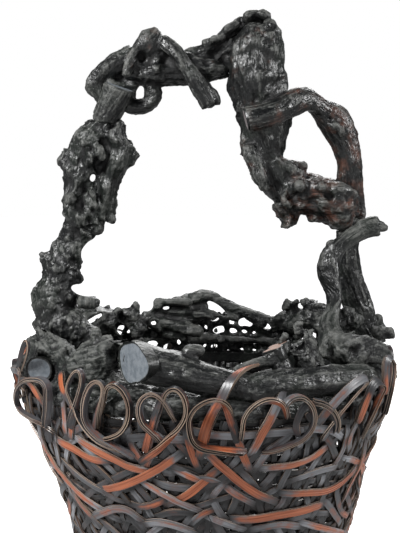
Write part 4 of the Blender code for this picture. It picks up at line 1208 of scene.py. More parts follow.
# Base, foot and hoop. The base: the strips' spacing and width, and which way each layer lies
BASE_PITCH = 11 * MM
BASE_STRIP = 7.5 * MM
BASE_DIRECTIONS = (0, 60, 120)
# The foot: how wide a coil's strip is, how far in and up the first coil lies, and how far apart
# the coils are in each direction, in millimetres
FOOT_STRIP = 2.9
FOOT_START = (1.2, 1.7)
FOOT_PITCH = (4.2, 2.7)
# The hoop inside the wall's top
HOOP_STRIP = 8 * MM


def plait_base(rng):
    low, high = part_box("woven_base")
    radius = high.x - 1.0 * MM
    bundle = Bundle()
    count = int(radius / BASE_PITCH)
    for layer, degrees in enumerate(BASE_DIRECTIONS):
        turn = math.radians(degrees)
        ahead = np.array([math.cos(turn), math.sin(turn), 0])
        aside = np.array([-math.sin(turn), math.cos(turn), 0])
        for number in range(-count, count + 1):
            offset = (number + 0.33) * BASE_PITCH
            half = math.sqrt(max(radius**2 - offset**2, 0)) - 1 * MM
            if half < 12 * MM:
                continue
            spots = np.linspace(-half, half, max(int(2 * half / (4 * MM)), 6))
            wave = np.cos(spots / BASE_PITCH * math.pi + number * math.pi + layer * 2.1) * 0.7 * MM
            places = ahead * spots[:, None] + aside * offset
            places[:, 2] = (low.z + high.z) / 2 + wave + (layer - 1) * 0.5 * MM
            normals = np.tile([0.0, 0.0, 1.0], (len(spots), 1))
            flat = np.zeros(len(spots))
            # The second mark is a little painted shade, even over the whole base
            marks = (flat + 0.15, flat + 0.15, rng.random())
            bundle.lay(places, normals, flat, BASE_STRIP, 1, PLY, *marks, rng, 0.1)
    bundle.make("plaited_base", "woven_base", slot="woven_bamboo")


def coil_foot(rng):
    low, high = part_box("foot_ring")
    bundle = Bundle()
    for level in range(3):
        for coil in range(2):
            turns = np.linspace(0, 2 * math.pi, 121) + coil
            reach = high.x - FOOT_START[0] * MM - coil * FOOT_PITCH[0] * MM
            height = low.z + FOOT_START[1] * MM + level * FOOT_PITCH[1] * MM
            out = outward(turns)
            places = out * reach + np.array([0, 0, height])
            places[:, 2] += np.sin(turns * 14 + level * 2) * 0.15 * MM
            flat = np.zeros(len(turns))
            # The second mark is a little painted shade, even over the whole foot
            marks = (flat + 0.35, flat + 0.14, 0.5)
            bundle.lay(places, out, flat, FOOT_STRIP * MM, 3, 0.9 * MM, *marks, rng, 0.05)
    bundle.make("foot_hoops", "foot_ring", slot="split_bamboo_hoop")


def coil_hoop(rng):
    low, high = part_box("inner_hoop")
    bundle = Bundle()
    turns = np.linspace(0, 2 * math.pi, 181)
    out = outward(turns)
    for layer in range(3):
        reach = high.x - (1.4 + 1.0 * layer) * MM
        places = out * reach + np.array([0, 0, (low.z + high.z) / 2 + (layer - 1) * 0.8 * MM])
        shine = np.full(len(turns), 0.25)
        twists = np.full(len(turns), -0.2)
        bundle.lay(places, out, twists, HOOP_STRIP, 1, PLY, shine, shine, 0.4, rng, 0.1)
    mesh = bundle.make("lashing_hoop", "inner_hoop", slot="split_bamboo_hoop").data
    mark_points(mesh, "wood", np.tile([0.5, 0.0, 0.1, 1.0], (len(mesh.vertices), 1)))
    mesh.materials.clear()
    mesh.materials.append(HOOP_BAMBOO)


def build_base():
    rng = random.Random(5)
    plait_base(rng)
    coil_foot(rng)
    coil_hoop(rng)


SMOKED_STRIP = strip_finish("smoked_strip")
SPLIT_EDGE = strip_finish("split_edge", pale_edge=True)
LACQUERED_STRIP = root_finish("lacquered_strip", 0.0, -0.20, 0.40)
HOOP_BAMBOO = root_finish("hoop_bamboo", 0.05, -0.1, 0.40)

# Root wood

# How each root looks, in this order. First six heights in millimetres: its broad forms, the sharp
# crests between its hollows, its lengthwise folds, the cracks in its bark, its crumbs and its
# fibre. Then how many nubs grow on 100 square centimetres of it, its share of red-brown, and how
# far its skin lies outside its solid in millimetres
BROAD, CRESTS, FOLDS, CRACKS, CRUMBS, FIBRE, NUBS, REDNESS, OUTSIDE = range(9)
ROOT_LOOKS = {
    "handle_left_root": (2, 1.7, 0.5, 0.6, 0.55, 0.3, 5, 0, 0),
    "handle_left_burl": (1.9, 1.7, 0.3, 0.5, 0.55, 0.3, 3, 0, 0),
    "handle_left_flap": (1.4, 1.2, 0.8, 0.3, 0.4, 0.5, 2, 0, 0),
    "handle_left_neck": (0.4, 0, 0.3, 0, 0.25, 0.4, 0, 0, 0.4),
    "handle_shoulder": (0.9, 0.4, 0.5, 0, 0.3, 0.4, 0, 0, -0.6),
    "handle_top_bar": (1.2, 0.9, 0.7, 0.2, 0.4, 0.5, 2, 0.15, 0.2),
    "handle_hooded_knob": (0.4, 0, 0.4, 0, 0.15, 0.6, 0, 0.40, -0.6),
    "handle_cut_arm": (0.6, 0.2, 0.6, 0, 0.25, 0.6, 0, 0.1, -0.2),
    "handle_hook": (0.4, 0.1, 0.2, 0, 0.2, 0.3, 0, 0.1, 1.2),
    "handle_top_vine": (0.7, 0.4, 0.7, 0, 0.25, 0.5, 1, 0.05, 0),
    "handle_right_burl": (0.8, 0.3, 0.5, 0, 0.35, 0.7, 0, 0.1, 0.2),
    "handle_right_trunk": (0.9, 0.4, 0.8, 0, 0.35, 0.8, 0, 0.1, 0),
    "handle_bark_tongue": (0.7, 0.5, 0.8, 0.3, 0.25, 0.7, 0, 0.2, 0.2),
    "handle_right_knuckle": (1.6, 1.4, 0.4, 0.3, 0.4, 0.3, 2, 0.45, -0.4),
    "handle_side_loop": (0.6, 0.3, 0.5, 0, 0.2, 0.6, 0, 0.35, 0),
    "handle_right_leg": (0.8, 0.2, 0.9, 0, 0.2, 0.7, 0, 0, 0),
    "handle_crook_branch": (0.4, 0.1, 0.7, 0, 0.2, 0.8, 0, 0, 0),
    "rim_front_branch": (0.6, 0.3, 0.3, 0, 0.25, 0.35, 0, 0.05, 0.4),
    "rim_front_log": (0.9, 0.4, 0.6, 0.1, 0.3, 0.5, 0, 0.05, 0.4),
    "rim_left_cut_branch": (0.5, 0.2, 0.3, 0.1, 0.3, 0.5, 0, 0, 0),
    "rim_under_branch": (1.2, 0.7, 0.7, 0.2, 0.4, 0.5, 2, 0, 0.4),
    "rim_left_root": (1.6, 1, 0.9, 0.5, 0.5, 0.9, 2, 0, 0),
    "rim_inner_root": (1, 0.4, 0.9, 0.4, 0.5, 1, 1, 0.05, 0),
    "rim_right_fan": (0.8, 0.2, 0.8, 0, 0.3, 1.1, 0, 0, 0),
    "rim_right_root": (1, 0.4, 0.8, 0.1, 0.35, 0.9, 0, 0, 0),
    "rim_rough_knot": (1.4, 1.4, 0, 1.2, 0.9, 0, 26, 0.15, 0.4),
    "rim_small_stub": (0.3, 0.1, 0.3, 0, 0.2, 0.6, 0, 0.1, 0.4),
    "rim_back_base_root": (1.8, 1.2, 0.6, 0.3, 0.5, 0.4, 5, 0, -5.5),
    "rim_back_left_root": (2.2, 1.6, 0.5, 0.4, 0.5, 0.4, 10, 0, 0),
    "rim_back_right_root": (2, 1.4, 0.6, 0.3, 0.5, 0.4, 6, 0, 0),
    "rim_back_arch_root": (1.1, 0.5, 0.6, 0.1, 0.3, 0.5, 1, 0.1, -0.6),
}

# Middle lines of the bent roots, as a pixel of the photograph and a depth in millimetres
BENT_ROOTS = {
    "handle_side_loop": (
        (247, 118, -30), (275, 110, -27), (300, 97, -16), (318, 99, -8), (340, 114, -3),
        (352, 137, 0), (358, 165, 2), (359, 198, 3),
    ),
    "handle_right_leg": ((358, 225, 4), (355, 255, 4), (360, 285, 4), (370, 310, 4), (385, 335, 2)),
    "handle_crook_branch": (
        (386, 226, -18), (362, 231, -20), (338, 243, -24), (328, 262, -28), (329, 288, -42),
        (331, 312, -60), (335, 330, -72),
    ),
    "handle_top_vine": ((172, 56, 3), (206, 38, 4), (232, 22, 4), (256, 12, 4), (272, 18, 3)),
    "handle_cut_arm": ((166, 40, -10), (183, 55, -15), (197, 78, -17), (208, 98, -17)),
    "handle_hook": ((157, 75, -3), (160, 92, -3), (152, 104, -3), (138, 106, -4), (130, 98, -5)),
    "handle_shoulder": ((90, 100, 3), (92, 78, 3), (110, 58, 3), (136, 50, 3)),
    "rim_left_root": ((55, 356, -85), (38, 345, -50), (30, 335, 0), (36, 325, 45)),
}

# Lumps and spikes added to the roots: from and to as pixels with one depth in millimetres, and
# the thickness at both ends
LEFT_SPURS = (
    ((70, 155), (61, 152), -2, 5, 2.6), ((66, 152), (62, 148), 4, 4, 2),
    ((72, 172), (63, 168), -4, 3, 1.2), ((70, 190), (62, 188), -4, 4, 1.6),
    ((86, 130), (80, 125), -2, 4, 2), ((56, 255), (40, 257), 0, 5, 1.2),
    ((120, 152), (140, 156), -9, 5, 2.2), ((116, 165), (127, 172), -8, 4, 1.6),
    ((122, 140), (131, 142), -9, 4.5, 2.5), ((122, 128), (127, 132), -9, 4, 2.5),
    ((108, 205), (115, 219), -7, 4.5, 3), ((102, 165), (102, 205), -4, 5, 5),
    ((98, 205), (98, 228), -4, 6, 4), ((88, 222), (90, 238), -3, 6, 4),
    ((96, 128), (110, 124), -3, 7, 6), ((118, 124), (122, 134), -6, 5, 4),
    ((60, 290), (92, 298), -4, 6, 4), ((84, 300), (98, 304), -10, 6, 3.4),
    ((72, 200), (74, 208), -17, 5, 2.2), ((92, 190), (95, 196), -17, 4.5, 2),
    ((100, 150), (103, 160), -17, 4.5, 2), ((84, 145), (88, 152), -18, 4.5, 2),
    ((92, 230), (98, 229), -4, 3.6, 3.2),
    ((76, 218), (70, 226), 10, 5, 2.4), ((96, 160), (90, 152), 14, 5, 2.4),
)
TOP_SPURS = (
    ((94, 80), (88, 80), 0, 4.2, 3), ((94, 90), (88, 91), 0, 3.8, 2.8),
    ((98, 84), (99, 106), 1, 5.5, 5), ((100, 104), (106, 112), 1, 4.5, 4.5),
    ((160, 78), (163, 85), -2, 4, 1.4), ((172, 80), (176, 86), -2, 4, 1.6),
    ((205, 40), (212, 34), 0, 3.6, 2.6), ((214, 36), (221, 34), -4, 4.4, 3.4),
    ((226, 26), (236, 21), -4, 3.8, 3.2), ((238, 19), (243, 17), 2, 4, 3),
    ((248, 15), (256, 12), -3, 4.4, 3.8), ((262, 13), (268, 15), -4, 4.4, 3.4),
    ((206, 92), (209, 103), -17, 5, 4.2), ((212, 94), (217, 102), -17, 4.4, 3.2),
    ((132, 58), (130, 72), -14, 3.4, 2.2), ((176, 62), (190, 78), -18, 2, 2),
    ((206, 50), (232, 44), 4, 8, 9), ((206, 64), (230, 62), 4, 8, 8),
    ((112, 84), (134, 86), -2, 4.5, 4.5), ((152, 66), (157, 71), -12, 4.5, 3),
    ((148.5, 82), (148.5, 98), -3, 3.8, 3.8), ((136, 105.5), (147, 104.5), -3, 2.8, 3),
    ((134, 86), (133.6, 100), -3, 2.4, 2.2),
    ((116, 78), (128, 80), 0, 3, 3),
    ((196, 58), (228, 66), -2, 2.6, 2.6), ((192, 66), (226, 74), -1, 2.6, 2.4),
)
RIGHT_SPURS = (
    ((246, 152), (240, 155), -2, 3.4, 1.4), ((232, 88), (229, 85), 0, 4, 2),
    ((352, 132), (357, 134), 0, 3.4, 1.4), ((332, 124), (337, 130), -12, 4, 3),
    ((340, 128), (342, 134), -13, 3.4, 2.2), ((302, 168), (303, 164), -4, 4, 1.6),
    ((290, 211), (292, 221), -4, 6, 4.6), ((294, 200), (293, 212), -4, 6, 4),
    ((242, 111), (248, 114), -2, 4, 4.4), ((284, 164.5), (297, 164.5), -4, 4.4, 4.2),
    ((357, 198), (358, 215), 3, 4.2, 4.4),
    ((313, 214), (316, 223), -5, 5, 2.6), ((320, 186), (322, 190), -18, 5, 3),
    ((300, 190), (303, 196), -17, 6, 3), ((338, 196), (340, 202), -16, 6, 3.4),
    ((286, 200), (288, 206), -16, 6, 3), ((352, 204), (358, 212), -8, 6.4, 3.4),
    ((334, 206), (332, 216), -10, 6, 3), ((286, 118), (290, 124), 6, 6, 3),
    ((262, 130), (268, 136), 14, 6, 3), ((268, 26), (272, 34), -6, 5, 2.6),
    ((278, 160), (300, 178), -12, 5, 5), ((318, 182), (352, 196), -14, 5, 5),
    ((261, 91), (264.5, 122), -1, 20.5, 17), ((261, 96), (264, 114), 8, 14, 13),
)
LEG_SPURS = (
    ((330, 242), (326, 244), -26, 3, 1.6), ((376, 227.5), (387, 225.5), -20, 4.8, 4),
    ((362, 227), (378, 222.5), -20, 5.2, 5),
    ((384, 322), (389, 331), 2, 5.4, 4), ((336, 318), (348, 312), -30, 5, 5),
    ((340, 326), (356, 320), -30, 7, 6),
)
BACK_SPURS = (
    ((134, 316), (135, 305), 98, 6, 4.6), ((204, 311), (236, 317), 128, 3.4, 3.4),
    ((127, 312), (131, 305), 98, 4.6, 2.6), ((136, 310), (139, 305), 102, 3.6, 2),
    ((112, 318), (118, 310), 95, 4.6, 2.4), ((158, 306), (156, 300), 118, 4, 2),
    ((168, 302), (160, 303), 122, 4, 1.8), ((196, 297), (198, 291), 128, 4, 2.4),
    ((288, 306), (286, 301), 108, 5, 3), ((304, 303), (306, 299), 100, 5, 3),
    ((292, 308), (297, 302), 108, 5, 3.6), ((310, 306), (316, 302), 100, 5, 3.6),
    ((318, 306), (330, 308), 92, 5, 3), ((180, 318), (186, 328), 128, 6, 3),
    ((150, 320), (158, 330), 118, 7, 3.6), ((128, 326), (134, 336), 105, 5, 2.6),
    ((168, 314), (190, 308), 130, 8, 7), ((190, 308), (204, 306), 132, 6, 5),
    ((184, 318), (198, 316), 132, 6, 5), ((146, 316), (160, 300), 120, 5, 4),
    ((160, 322), (196, 332), 122, 6, 5), ((164, 332), (186, 338), 124, 5, 3),
    ((161, 301.5), (188, 301.5), 120, 3.6, 4), ((198, 312), (212, 318), 128, 6, 4),
)
RIM_LEFT_SPURS = (
    ((34, 334), (31, 328), -40, 4.4, 2.4), ((30, 344), (27, 338), -46, 4, 2),
    ((98, 334), (101, 328), -98, 4.6, 2.6), ((112, 340), (116, 336), -100, 4.6, 3),
    ((96, 370), (118, 382), -104, 9, 7), ((74, 366), (98, 378), -92, 8, 7),
    ((64, 350), (68, 368), -92, 3.4, 3.4),
)
RIM_FRONT_SPURS = (((190, 352), (200, 351), -128, 5, 4),)
RIM_UNDER_SPURS = (
    ((112, 386), (160, 396), -104, 7, 7), ((160, 396), (232, 404), -112, 7, 6),
    ((232, 404), (300, 400), -112, 6, 6),
)
RIM_RIGHT_SPURS = (
    ((298, 330), (300, 324), -98, 4, 2.2), ((308, 334), (312, 330), -96, 4, 2),
    ((283, 342), (286, 336), -98, 4, 2), ((292, 352), (290, 358), -110, 4, 2),
    ((372, 350), (382, 348), -46, 7, 5), ((378, 332), (387.5, 333), -16, 6, 4.6),
)

# Hollows and swellings pressed into the roots: pixel, and radius and height in millimetres
LEFT_STAMPS = (
    (93, 177, 5, -5), (96, 188, 6, -4), (84, 190, 8, -5), (106, 146, 9, -5),
    (98, 165, 8, -3), (92, 150, 9, -2.5), (78, 160, 6, -2.5), (96, 205, 7, 2.5),
    (80, 182, 5.5, 2), (84, 202, 7, -4), (70, 210, 5, 1.5), (90, 222, 6, -3),
    (76, 236, 6, -3), (74, 262, 5, -3), (56, 268, 6, 2.5), (64, 282, 7, -3.5),
    (48, 290, 7, 2), (70, 298, 6, 2), (40, 310, 6, -2.5), (118, 150, 7, -3),
    (110, 185, 6, 1.5), (104, 130, 6, -2), (72, 140, 7, 1.5),
)
TOP_STAMPS = (
    (216, 50, 9, -6), (222, 58, 7, -5), (206, 62, 6, -3), (150, 62, 6, -3),
    (164, 60, 6, -4), (142, 58, 5, -4), (104, 66, 7, 1.5), (172, 62, 5, -3),
    (118, 78, 7, -2.5), (190, 66, 5, -2), (156, 70, 3.4, 2),
)
RIGHT_STAMPS = (
    (271, 35, 4.4, 3), (263, 35, 3.6, -2.4), (265.5, 28.5, 3.6, -2.4), (271, 26, 3.6, -2.4),
    (277, 28.5, 3.6, -2.4), (279, 35, 3.6, -2), (277, 41.5, 3.6, -2.4), (271, 44, 3.6, -2.4),
    (265.5, 41.5, 3.6, -2.4), (268, 57, 7, -2.6), (252, 50, 6, -2), (276, 52, 6, 1.6),
    (264, 74, 9, 1), (258, 96, 7, -1.6), (276, 88, 8, -1.2),
    (268, 140, 6, 1.2), (282, 152, 7, -2), (300, 186, 7, 3),
    (292, 198, 7, -5), (322, 188, 4, 2.4), (330, 198, 6, -3.6), (342, 190, 6, 3),
    (312, 200, 7, -4), (350, 206, 6, 2.4), (306, 176, 5, -2.4), (354, 216, 4.5, -3),
    (336, 126, 4, 2.6), (330, 120, 3.4, -2.4), (342, 132, 3.2, 2.4), (276, 188, 6, -3),
)
RIM_STAMPS = (
    (174, 376, 4.4, 1.4), (188, 374, 4, 1.8), (240, 378, 8, 1.4), (262, 382, 7, -1.4),
    (104, 345, 6, 1.6), (112, 352, 5, -2), (98, 352, 6, -2), (60, 340, 7, 1.8),
    (70, 350, 7, -3.4), (52, 326, 6, -3), (80, 362, 6, 1.6), (66, 330, 6, 2),
    (300, 344, 5, -3), (306, 338, 4, 2.6), (292, 336, 4, -2.6), (340, 338, 8, 1.6),
    (356, 352, 7, -3.4), (368, 340, 6, 1.6), (330, 352, 6, -2.6), (320, 376, 8, 1.2),
)

# The flat ends that the saw left: which way each faces, its outline as pixels of the photograph
# where that is plain to see, or else none, how far in front of it no wood stands, in
# millimetres, and how warm its colour is
SAWN_ENDS = {
    "rim_front_branch": (
        (-0.8, -0.6, 0),
        (
            (118, 349), (121, 346), (128, 343), (134, 342), (140, 348), (144, 355), (148, 361),
            (150, 366), (148, 374), (142, 380), (134, 383), (129, 385), (124, 380), (121, 373),
            (119, 361),
        ),
        14,
        0,
    ),
    "rim_left_cut_branch": (
        (0, -1, 0),
        (
            (26, 369), (27, 363), (31, 358.5), (38, 357), (45, 359), (49.5, 363), (51.5, 369),
            (51, 376), (47, 380), (39, 382), (31, 380), (27, 375),
        ),
        30,
        0,
    ),
    "rim_small_stub": (
        (0, -0.4, 0.9),
        (
            (281.9, 347.3), (280.7, 348.9), (277.4, 349.9), (273.4, 349.9), (270.1, 348.9),
            (268.9, 347.3), (270.1, 345.7), (273.4, 344.7), (277.4, 344.7), (280.7, 345.7),
        ),
        4,
        0.9,
    ),
    "handle_side_loop": ((-1, 0, 0), (), 2, 0.3),
    "handle_left_neck": ((0, 0, 1), (), 4, 0),
}

# Holes that daylight shows through, and notches that trim an outline: pixel, half the width and
# height in pixels, and how many degrees it is turned clockwise. None may touch another
LEFT_HOLES = ((93, 178, 3.2, 4.4, 15), (100, 250, 19.5, 13.5, -25), (84, 290, 13.5, 5.8, 12))
RIM_LEFT_HOLES = ((19.5, 347, 7.5, 11, 12),)
BACK_GAPS = (
    (92, 320, 15.5, 2.4, -31), (123, 330, 10.5, 5.2, 45), (85.5, 343.5, 5.2, 3, -50),
    (82.3, 354, 2.2, 2.2, 0), (217, 307.5, 13, 3.4, 38), (147, 304.5, 6.5, 7, 0),
    (166, 308, 7, 1.7, -12), (154.2, 322.8, 3.8, 2.6, 0), (153, 344, 6.2, 3.4, 5),
    (169.3, 345.5, 3.6, 4.3, 20), (178.5, 342.2, 2.8, 4, 15), (189.3, 353.8, 3.8, 2.3, -15),
    (130.6, 340.5, 2.4, 2.6, 0),
)
BACK_HOLES = (
    (153, 344, 6.2, 3.4, 5), (169.3, 345.5, 3.6, 4.3, 20), (178.5, 342.2, 2.8, 4, 15),
    (189.3, 353.8, 3.8, 2.3, -15), (123, 330, 10.5, 5.2, 45), (85.5, 343.5, 5.2, 3, -50),
    (82.3, 354, 2.2, 2.2, 0), (154.2, 322.8, 3.8, 2.6, 0), (211.6, 319.6, 2.2, 2.2, 0),
    (217.4, 319, 2.8, 3.2, 0), (206.1, 325.7, 1.8, 1.8, 0), (218, 329.8, 7.2, 4.4, 0),
    (231.7, 321.3, 3.4, 3.4, 20), (232, 331, 3.2, 2.9, 0), (246, 322.5, 9, 5.2, 5),
    (244.2, 331.8, 3, 2.4, 10), (265.2, 325, 8.8, 4.3, 15), (253.5, 333, 2.8, 2.1, 0),
    (277, 329.5, 3, 3, 30), (286.6, 326.4, 4.6, 6.5, 0), (299, 326.4, 4.2, 3, 15),
    (210.4, 338.9, 3.3, 2.5, 0), (223.8, 339.5, 4.7, 3.3, 10), (238.2, 339.7, 2.7, 3, 20),
    (255, 343, 3.4, 2.7, 5), (262.7, 341, 2.3, 2.3, 20), (269, 342, 2.8, 2.4, 10),
    (262.7, 334, 2.6, 1.9, 10), (213.3, 346.5, 6, 3, 0), (242.2, 349.3, 4.3, 2.2, 5),
    (252.4, 350, 2, 2, 0), (214.8, 355.3, 4.8, 3.7, -15), (231.7, 358.9, 3, 3.2, 0),
    (239.7, 356.7, 3.6, 3.3, 35),
)
# How many pixels wider the strips pass
HOLE_MARGIN = 2.1
# How far back the openwork starts
BACK_FROM = 0.06

# Where a piece's outline is pushed: pixel and depth in millimetres, how far round it the push is
# felt in millimetres, and how many pixels it moves to the right and down
LEFT_PUSHES = (
    (84, 112, -2, 10, 7, 5), (72, 134, -2, 12, 2, 1), (59, 152, 0, 8, 4, 1),
    (128, 172, -8, 14, -5, 0), (119, 195, -7, 14, -4, 0), (118, 216, -7, 10, -4, -1),
    (84, 268, -2, 11, -4, 0),
    (52, 248, 0, 9, -1, -2), (126, 134, -9, 10, -2, 1),
    (40, 258, 0, 6, 1, -2), (36, 294, 0, 12, -3, 0), (34, 314, 0, 10, -2, 0),
)
TOP_PUSHES = (
    (92, 66, 3, 16, 4, 2), (108, 54, 3, 14, 2, 2), (91, 104, 2, 9, 7, -4),
    (95, 110, 2, 8, 3, -2), (152, 34, -10, 9, 2, -2), (172, 44, -12, 12, 1, -1),
    (127, 48, 0, 6, 0, -2), (138, 114, -4, 10, 0, -5), (150, 114, -4, 10, 0, -5),
    (159, 106, -4, 8, -2, -3), (175, 88, -2, 16, 0, -2), (205, 98, -17, 12, 1, -1),
    (218, 80, 0, 12, 0, 2), (196, 48, 4, 10, 1, 2), (210, 37, 4, 13, 1, 5),
    (226, 27, 4, 12, 1, 4), (240, 18, 4, 12, 0, 2), (258, 10, 4, 12, 0, 2),
    (214, 34, 4, 9, 1, 3), (168, 38, -12, 16, 1, -2), (100, 62, 3, 20, -1, -1),
    (274, 16, 3, 8, -2, 2),
)
RIGHT_PUSHES = (
    (280, 34, 0, 12, 8, -1), (288, 48, 0, 12, -5, 0), (300, 94, -16, 15, 0, -5),
    (326, 92, -8, 10, -1, 3), (347, 113, -3, 11, 4, -2), (304, 118, -8, 9, 0, -4),
    (326, 226, -8, 10, 0, -4),
    (320, 98, -8, 12, 0, -1), (312, 114, -10, 7, 0, -3), (342, 112, -3, 12, 1, -1),
    (361, 211, 3, 10, 2, 0), (239, 118, 0, 10, -2, 0), (249, 180, -10, 14, 7, -5),
    (259, 196, -12, 11, 4, -6), (276, 214, -5, 11, 6, 0), (282, 222, -5, 9, 6, -1),
    (318, 227, -5, 14, 0, -7), (286, 147, 0, 9, -6, 0), (296, 120, -4, 9, -5, -2),
    (310, 176, -4, 8, 0, -1), (330, 180, -6, 10, 0, -1),
)
LEG_PUSHES = (
    (378, 230, -18, 14, 0, -2), (362, 236, -20, 12, 0, -3), (388, 222, -20, 9, -5, 2),
    (318, 258, -28, 14, 2, 0), (318, 285, -42, 16, 4, 0), (320, 294, -46, 13, 14, 0),
    (368, 290, 4, 14, 3, 0), (389, 324, 0, 14, -9, 0), (332, 226, -22, 9, 2, 5),
)
RIM_LEFT_PUSHES = (
    (124, 362, -104, 16, -10, 0), (116, 334, -96, 12, -5, 5), (28, 338, -46, 14, 8, 2),
    (22, 352, -60, 12, 7, 0),
)
RIM_RIGHT_PUSHES = ((388, 338, -20, 12, 4, 0),)
BACK_PUSHES = (
    (200, 290, 128, 14, 0, 3), (252, 304, 125, 26, 0, 2), (298, 306, 108, 12, 0, -1),
    (188, 294, 128, 9, 0, 3),
)

# Sawn ends: how many corners each has, and for one that faces the camera and for any other, how
# far it stands in front of its solid in millimetres and how many pixels beside its outline the
# wood is moved back for it
CUT_CORNERS = 40
CUT_FORWARD = (4.5, 0.3)
CUT_CLEARED = (13, 0.5)
# Then the pixels round the outline that are clear of wood, how much farther than the wood before
# it a sawn end may lie, and how far behind it that wood goes, as shares of the wood's distance
CUT_EDGE = 0.8
CUT_NEAR = 1.08
CUT_BEHIND = 0.009
# How often a surface is smoothed to find what stands out from near and from far round it
NEAR_ROUNDS = 6
FAR_ROUNDS = 40
# The depths that a hole is drilled between
DRILL_DEPTHS = (-0.16, 0.18)


def spur(shape, start, end, thick, thin):
    """A tapering spike with a rounded tip."""
    ahead = end - start
    turn = Vector((0, 0, 1)).rotation_difference(ahead).to_matrix().to_4x4()
    turn.translation = (start + end) / 2
    bmesh.ops.create_cone(
        shape, cap_ends=True, segments=10, radius1=thick, radius2=thin, depth=ahead.length, matrix=turn
    )
    turn.translation = end
    bmesh.ops.create_icosphere(shape, subdivisions=1, radius=thin, matrix=turn)
    turn.translation = start
    bmesh.ops.create_icosphere(shape, subdivisions=2, radius=thick, matrix=turn)


def merged(node):
    """A copy of a CAD node's shape with its points joined."""
    shape = bmesh.new()
    shape.from_mesh(nodes[node].data)
    bmesh.ops.remove_doubles(shape, verts=shape.verts, dist=0.01 * MM)
    return shape


def grow_nubs(shape, root, rng):
    """Small spikes and stubs all over a root, as many as its look asks for."""
    mesh = nodes[root].data
    areas = [face.area for face in mesh.polygons]
    count = round(sum(areas) * 100 * ROOT_LOOKS[root][NUBS])
    for face in rng.choices(mesh.polygons, areas, k=count):
        first, second, third = (mesh.vertices[index].co for index in face.vertices)
        a, b = sorted((rng.random(), rng.random()))
        start = first * a + second * (b - a) + third * (1 - b)
        lean = Vector([rng.uniform(-0.8, 0.8) for _ in range(3)])
        ahead = (face.normal + lean).normalized()
        thick = rng.uniform(1.4, 3.0) * MM
        length = rng.uniform(1.0, 3.8) * MM
        tip = thick * rng.uniform(0.25, 0.5)
        spur(shape, start - ahead * thick / 2, start + ahead * length, thick, tip)


def sawn_end(root):
    """The middle and facing of the flat cut at a root's end, and its corners, from its solid."""
    facing = Vector(SAWN_ENDS[root][0])
    mesh = nodes[root].data
    groups = {}
    for face in mesh.polygons:
        if face.normal.dot(facing) > 0.5:
            groups.setdefault(tuple(round(part, 2) for part in face.normal), []).append(face)
    cut = max(groups.values(), key=lambda group: sum(face.area for face in group))
    area = sum(face.area for face in cut)
    middle = sum((face.center * face.area for face in cut), Vector()) / area
    corners = [mesh.vertices[index].co.copy() for face in cut for index in face.vertices]
    return middle, cut[0].normal.copy(), corners


def for_facing(facing, choices):
    """The first choice for a sawn end that faces the camera, and the second for any other."""
    return choices[0] if facing[1] < -0.5 else choices[1]


def cut_ring(root, count):
    """Places evenly round the edge of a sawn end, with its middle and facing."""
    middle, facing, corners = sawn_end(root)
    middle = middle + facing * for_facing(facing, CUT_FORWARD) * MM
    outline = SAWN_ENDS[root][1]
    if outline:
        away = (middle - CAMERA_PLACE).dot(facing)
        rays = [sight(u, v) for u, v in outline]
        corners = [CAMERA_PLACE + ray * (away / ray.dot(facing)) for ray in rays]
        middle = sum(corners, Vector()) / len(corners)
    aside = facing.orthogonal().normalized()
    upright = facing.cross(aside)
    apart = [corner - middle for corner in corners]
    flat = np.array([(part.dot(aside), part.dot(upright)) for part in apart])
    angles = np.arctan2(flat[:, 1], flat[:, 0])
    reaches = np.hypot(flat[:, 0], flat[:, 1])
    order = np.argsort(angles)
    turns = np.linspace(-math.pi, math.pi, count, endpoint=False)
    reach = np.interp(turns, angles[order], reaches[order], period=2 * math.pi)
    for _ in range(2):
        reach = (np.roll(reach, 1) + 2 * reach + np.roll(reach, -1)) / 4
    return middle, facing, aside, upright, turns, reach


def clear_of_cut(places, cut, clear):
    """The places with none close in front of a sawn end."""
    middle, facing, aside, upright, turns, reach = cut
    apart = places - np.array(middle)
    beyond = apart @ np.array(facing)
    across, along = apart @ np.array(aside), apart @ np.array(upright)
    edge = np.interp(np.arctan2(along, across), turns, reach, period=2 * math.pi)
    off_middle = np.hypot(across, along)
    near = (off_middle < edge * 1.04) & (beyond > -1.6 * MM) & (beyond < clear * MM)
    near |= (off_middle < edge * 1.5) & (beyond > -0.6 * MM) & (beyond < clear / 2 * MM)
    places[near] -= np.array(facing) * (beyond[near, None] + 1.0 * MM)
    return places


def add_cut(shape, cut, warmth):
    """A flat sawn end with a worn edge, let into the wood behind it."""
    middle, facing, aside, upright, turns, reach = cut
    wood = shape.verts.layers.float_color["wood"]
    count = len(turns)
    made = bmesh.ops.create_cone(
        shape, cap_ends=True, segments=count, radius1=1, radius2=1, depth=2
    )["verts"]
    front = []
    for vertex in made:
        index = round((math.atan2(vertex.co.y, vertex.co.x) + math.pi) / (2 * math.pi) * count) % count
        out = (aside * math.cos(turns[index]) + upright * math.sin(turns[index])) * reach[index]
        vertex[wood] = (0.5, 0.0, 0.1, 1.0)
        if vertex.co.z > 0:
            front.append(vertex)
            vertex.co = middle + out
        else:
            vertex.co = middle + out * 0.9 - facing * 9 * MM
    faces = list({face for vertex in made for face in vertex.link_faces})
    bmesh.ops.recalc_face_normals(shape, faces=faces)
    face = next(face for face in faces if all(vertex in front for vertex in face.verts))
    bmesh.ops.inset_region(shape, faces=[face], thickness=0.5 * MM, depth=0.5 * MM)
    rim = list(face.verts)
    bmesh.ops.inset_region(shape, faces=[face], thickness=1.4 * MM, depth=0)
    for vertex in rim:
        vertex[wood] = (0.6, 1.0, warmth, 1.0)
    for vertex in face.verts:
        vertex[wood] = (0.6, 0.6, warmth, 1.0)


